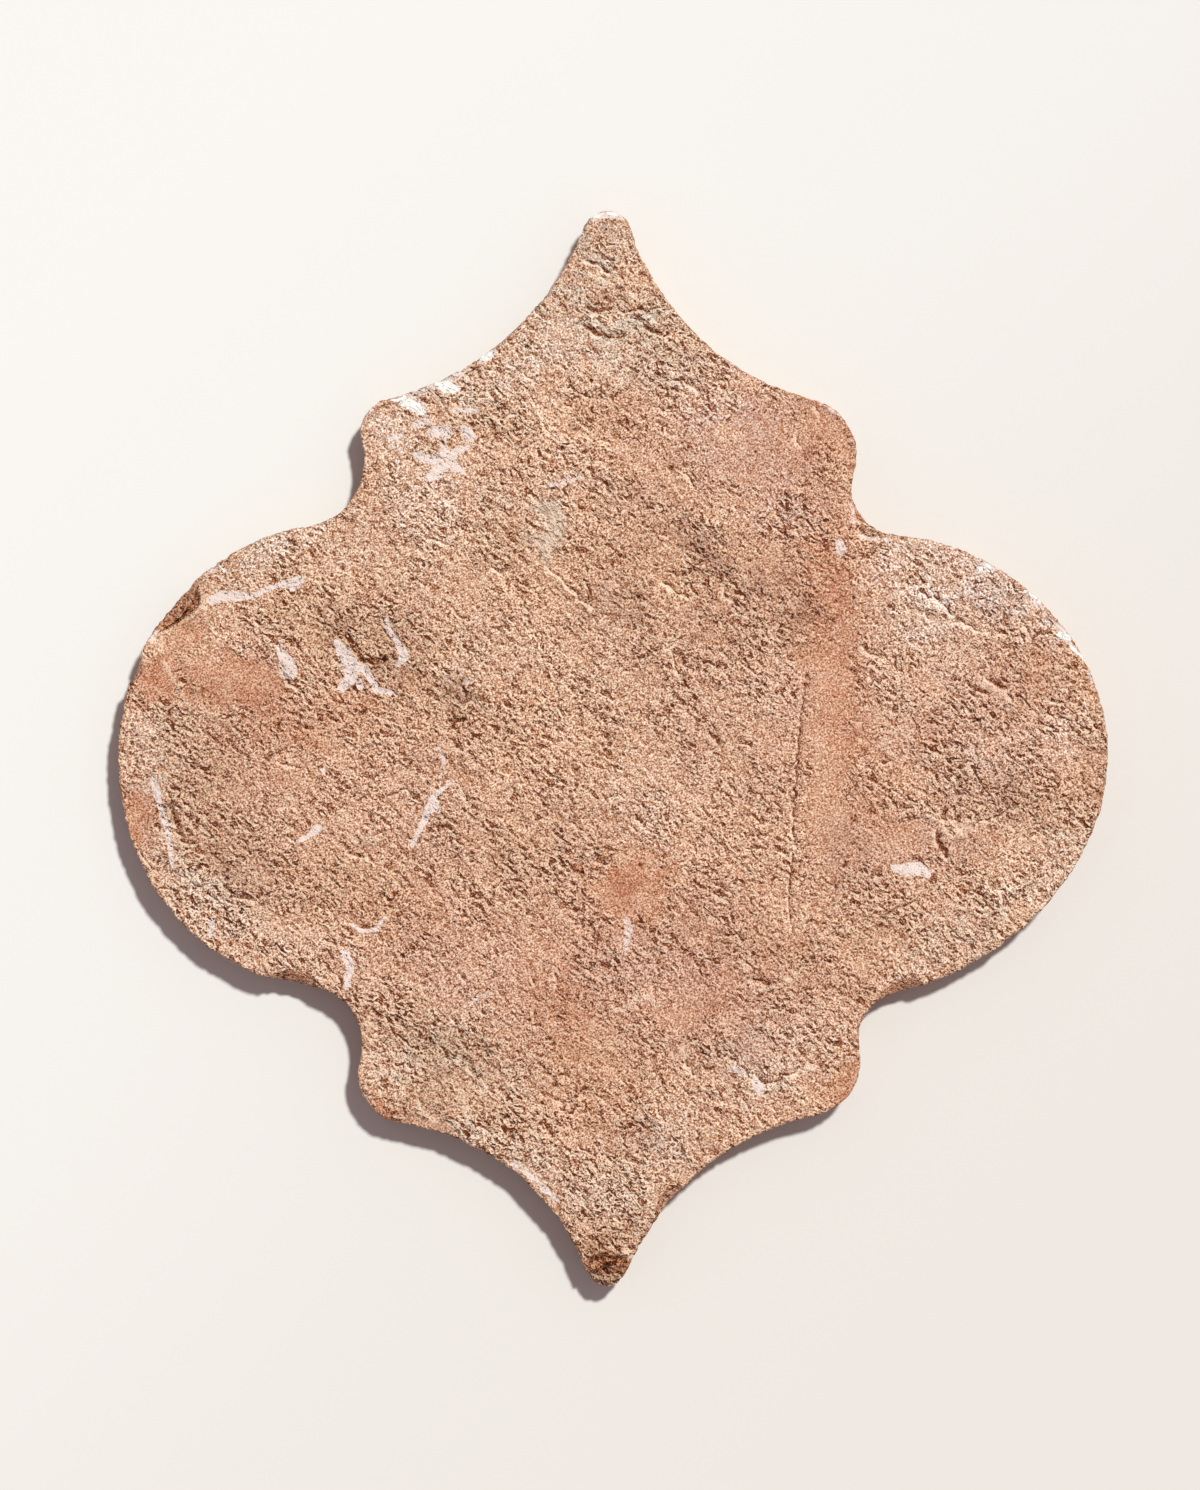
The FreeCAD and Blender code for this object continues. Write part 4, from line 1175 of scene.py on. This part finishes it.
# how the parts move the colour's level: the marks' floors and the dents' walls darken as painted shade, the
# lips and crust steps facing the light lighten as painted highlight, and the relief's hollows and crests
# darken and lighten as painted shade and highlight; the rest is the clay's own grain and patches
clayLevels = {"holeShade": -0.36, "dent": -0.14, "paintedHighlight": 0.33, "crustShadeAndHighlight": 0.15, "grit": 1.0, "lump": 0.08,
              "hollowShadeAndHighlight": 0.3, "paintedShadeAndHighlight": -0.42, "ridge": 0.15, "coarse": 0.06, "smooth": -0.04}
clayBase = 0.692  # level of plain clay between the tones below
clayGrit = {"onRough": 0.9, "everywhere": 1.75}
# the darker tones are reached mostly through painted shade in the marks, and the crest tone through paler
# clay and painted highlight
clayTones = ((0.15, "pit"), (0.45, "shade"), (0.70, "body"), (1.0, "crest"))


def claySurface():
    s = Shader("wornTerracotta")
    loose = s.wandering(clayWander["wavelength"], clayWander["amount"])

    def noise(name, lee=0.0):
        kind, where = clayNoises[name], None
        if "stretch" in kind:
            where = s.turned(dragTurn + kind["turn"], kind["stretch"], kind["shift"], loose, lee)
        return s.noise(kind["wavelength"], kind["detail"], kind["roughness"], where)

    def eased(value, name):
        return s.ease(value, *clayEdges[name])

    def frayed(name, noise):
        # a painted mask with a torn edge
        return s.math("MULTIPLY_ADD", s.centred(noise), clayFrays[name], s.painted(name))

    def onRough(value):
        return s.math("MULTIPLY", value, rough)

    def tinted(colour, amount, name):
        return s.blend(amount, colour, s.blend(1.0, colour, tints[name], "MULTIPLY"))

    # where the face is rougher and where it is smoother
    fray = noise("fray")
    bare = eased(frayed("bare", fray), "bare")
    calm = eased(frayed("smooth", fray), "calm")
    limePlain = s.math("MULTIPLY", s.painted("lime"), clayShares["limeCalm"])
    plain = s.math("MAXIMUM", s.math("MULTIPLY", bare, clayShares["bareCalm"]), limePlain)
    even = s.math("SUBTRACT", 1.0, s.math("MAXIMUM", calm, plain), clamp=True)
    coarse = s.math("MULTIPLY_ADD", s.painted("coarse"), clayShares["coarse"], clayShares["rough"])
    rough = s.math("MULTIPLY", eased(noise("region"), "region"), s.math("MULTIPLY", even, coarse))

    def pitsAndGouges(lee):
        return s.math("MINIMUM", noise("pit", lee), noise("gouge", lee))

    def twoSteps(value, low, high):
        return s.math("ADD", eased(value, low), eased(value, high))

    # each mark is read again a little off the light, and the difference paints a highlight on the lip that
    # faces the light
    marks, marksLee = pitsAndGouges(0.0), pitsAndGouges(clayLee["marks"])
    crust = twoSteps(noise("crust"), "crustLow", "crustHigh")
    # the crust read again off the light, so its steps take painted highlight on the side facing the light and
    # painted shade on the other
    crustLee = twoSteps(noise("crust", clayLee["crust"]), "crustLow", "crustHigh")
    scales = twoSteps(noise("scale"), "scaleLow", "scaleHigh")
    gap, grain = noise("gap"), noise("grain")
    parts = {
        # the floors of the pits and gaps, darkened as painted shade
        "holeShade": onRough(s.math("MAXIMUM", eased(marks, "holeShade"), eased(gap, "holeGap"))),
        "dent": onRough(s.math("MAXIMUM", eased(marks, "dent"), eased(gap, "dentGap"))),
        "paintedHighlight": onRough(s.math("SUBTRACT", eased(marksLee, "highlightLee"), eased(marks, "highlightMark"), clamp=True)),
        "crumb": onRough(noise("crumb")),
        "scales": onRough(scales),
        "crust": onRough(crust),
        "crustShadeAndHighlight": onRough(s.math("SUBTRACT", crust, crustLee)),
        "lump": s.centred(noise("lump")),
        "grain": grain,
    }
    s.bump(s.sumOf(0.0, parts, clayHeights), mm)

    # the marks' floors and walls are darkened as painted shade, and the lips beside them that face the light
    # are lightened as painted highlight
    strength = s.math("MULTIPLY_ADD", rough, clayGrit["onRough"], clayGrit["everywhere"])
    parts["grit"] = s.math("MULTIPLY", s.centred(grain), strength)
    for name in ("hollowShadeAndHighlight", "paintedShadeAndHighlight", "ridge", "coarse", "smooth"):
        parts[name] = s.painted(name)
    level = s.sumOf(clayBase, parts, clayLevels)
    ramp = s.nodes.new("ShaderNodeValToRGB")
    s.feed(ramp.inputs[0], level)
    stops = ramp.color_ramp.elements
    stops[0].position, stops[1].position = clayTones[0][0], clayTones[-1][0]
    for position, _ in clayTones[1:-1]:
        stops.new(position)
    for stop, (_, tone) in zip(stops, clayTones):
        stop.color = (*clay[tone], 1)
    colour = ramp.outputs[0]

    drift = eased(noise("drift"), "drift")
    for name in ("dusty", "tan"):
        colour = tinted(colour, s.painted(name), name)
    for name in ("brick", "umber", "grime", "rose", "sand", "pale", "dun", "ash"):
        colour = tinted(colour, s.math("MULTIPLY", s.painted(name), drift, clamp=True), name)
    colour = tinted(colour, bare, "bare")
    colour = tinted(colour, eased(frayed("broken", noise("torn")), "torn"), "broken")
    limed = s.math("MULTIPLY", eased(frayed("lime", noise("ragged")), "lime"), eased(level, "limeLevel"))
    colour = s.blend(s.math("MULTIPLY", limed, clayShares["lime"]), colour, clay["lime"])
    colour = s.blend(eased(frayed("chalk", noise("dry")), "chalk"), colour, clay["chalk"])
    filmed = s.math("MULTIPLY", s.painted("film"), eased(noise("thin"), "film"))
    colour = s.blend(s.math("MULTIPLY", filmed, clayShares["film"]), colour, clay["film"])
    s.finish(colour, 0.92, 0.2)
    return s.material


tile.data.materials.append(claySurface())
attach(tile, "root")
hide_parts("tile")
print("clay painted")

studio = {
    "light": 1.15,  # on the floor, where 1 shows a white floor as white
    "fillShare": 0.27,
    "fill": (1.09, 0.96, 1.03),
    "sun": (0.967, 1.015, 0.989),
    "sunHeight": 63.4,  # degrees
    "sunTurn": 54.8,  # degrees round from the right
    "sunWidth": 4.5,
    "floor": (0.696, 0.679, 0.652),
    # the floor's colour runs darker towards the lower right corner, as painted shade
    "shadedCorner": (0.636, 0.598, 0.565),
    "floorHalf": 3.0,  # metres
    "floorGap": 0.05,  # millimetres below the tile, so that the two don't flicker
    "cornerReach": 0.3,  # metres, from the middle to where the far corner's colour is full
}


def layFloor():
    mesh = bpy.data.meshes.new("floor")
    half, down = studio["floorHalf"], -studio["floorGap"] * mm
    corners = [(x * half, y * half, down) for x, y in ((-1, -1), (1, -1), (1, 1), (-1, 1))]
    mesh.from_pydata(corners, [], [(0, 1, 2, 3)])
    floor = bpy.data.objects.new("floor", mesh)
    bpy.context.scene.collection.objects.link(floor)
    s = Shader("paleFloor")
    split = s.nodes.new("ShaderNodeSeparateXYZ")
    s.feed(split.inputs[0], s.place)
    slant = s.math("SUBTRACT", split.outputs[0], split.outputs[1])
    # painted shade: the floor darkens towards the lower right
    shadeRamp = s.ease(slant, -studio["cornerReach"], studio["cornerReach"])
    s.finish(s.blend(shadeRamp, studio["floor"], studio["shadedCorner"]), 0.9, 0.1)
    mesh.materials.append(s.material)


def lightStudio():
    height, turn = math.radians(studio["sunHeight"]), math.radians(studio["sunTurn"])
    towards = Vector((math.cos(turn) * math.cos(height), math.sin(turn) * math.cos(height), math.sin(height)))
    sun = bpy.data.lights.new("keyLight", "SUN")
    sun.energy = studio["light"] * (1 - studio["fillShare"]) * math.pi / math.sin(height)
    sun.color = studio["sun"]
    sun.angle = math.radians(studio["sunWidth"])
    lamp = bpy.data.objects.new("keyLight", sun)
    lamp.rotation_euler = towards.to_track_quat("Z", "Y").to_euler()
    bpy.context.scene.collection.objects.link(lamp)
    world = bpy.data.worlds.new("studio")
    world.use_nodes = True
    sky = world.node_tree.nodes["Background"]
    sky.inputs["Color"].default_value = (*studio["fill"], 1)
    sky.inputs["Strength"].default_value = studio["light"] * studio["fillShare"]
    bpy.context.scene.world = world
    bpy.context.scene.view_settings.view_transform = "Standard"
    bpy.context.scene.view_settings.look = "Medium High Contrast"


shot = {"x": -3.6, "y": 1.07, "distance": 2500.0, "frameHeight": 414.2, "sensor": 36.0}


def placeCamera():
    lens = bpy.data.cameras.new("camera")
    lens.sensor_width = shot["sensor"]
    lens.lens = shot["sensor"] * shot["distance"] / shot["frameHeight"]
    lens.clip_end = 100
    camera = bpy.data.objects.new("camera", lens)
    camera.location = (shot["x"] * mm, shot["y"] * mm, (tileTop + shot["distance"]) * mm)
    bpy.context.scene.collection.objects.link(camera)
    bpy.context.scene.camera = camera


layFloor()
lightStudio()
placeCamera()
print("floor, light and camera set")
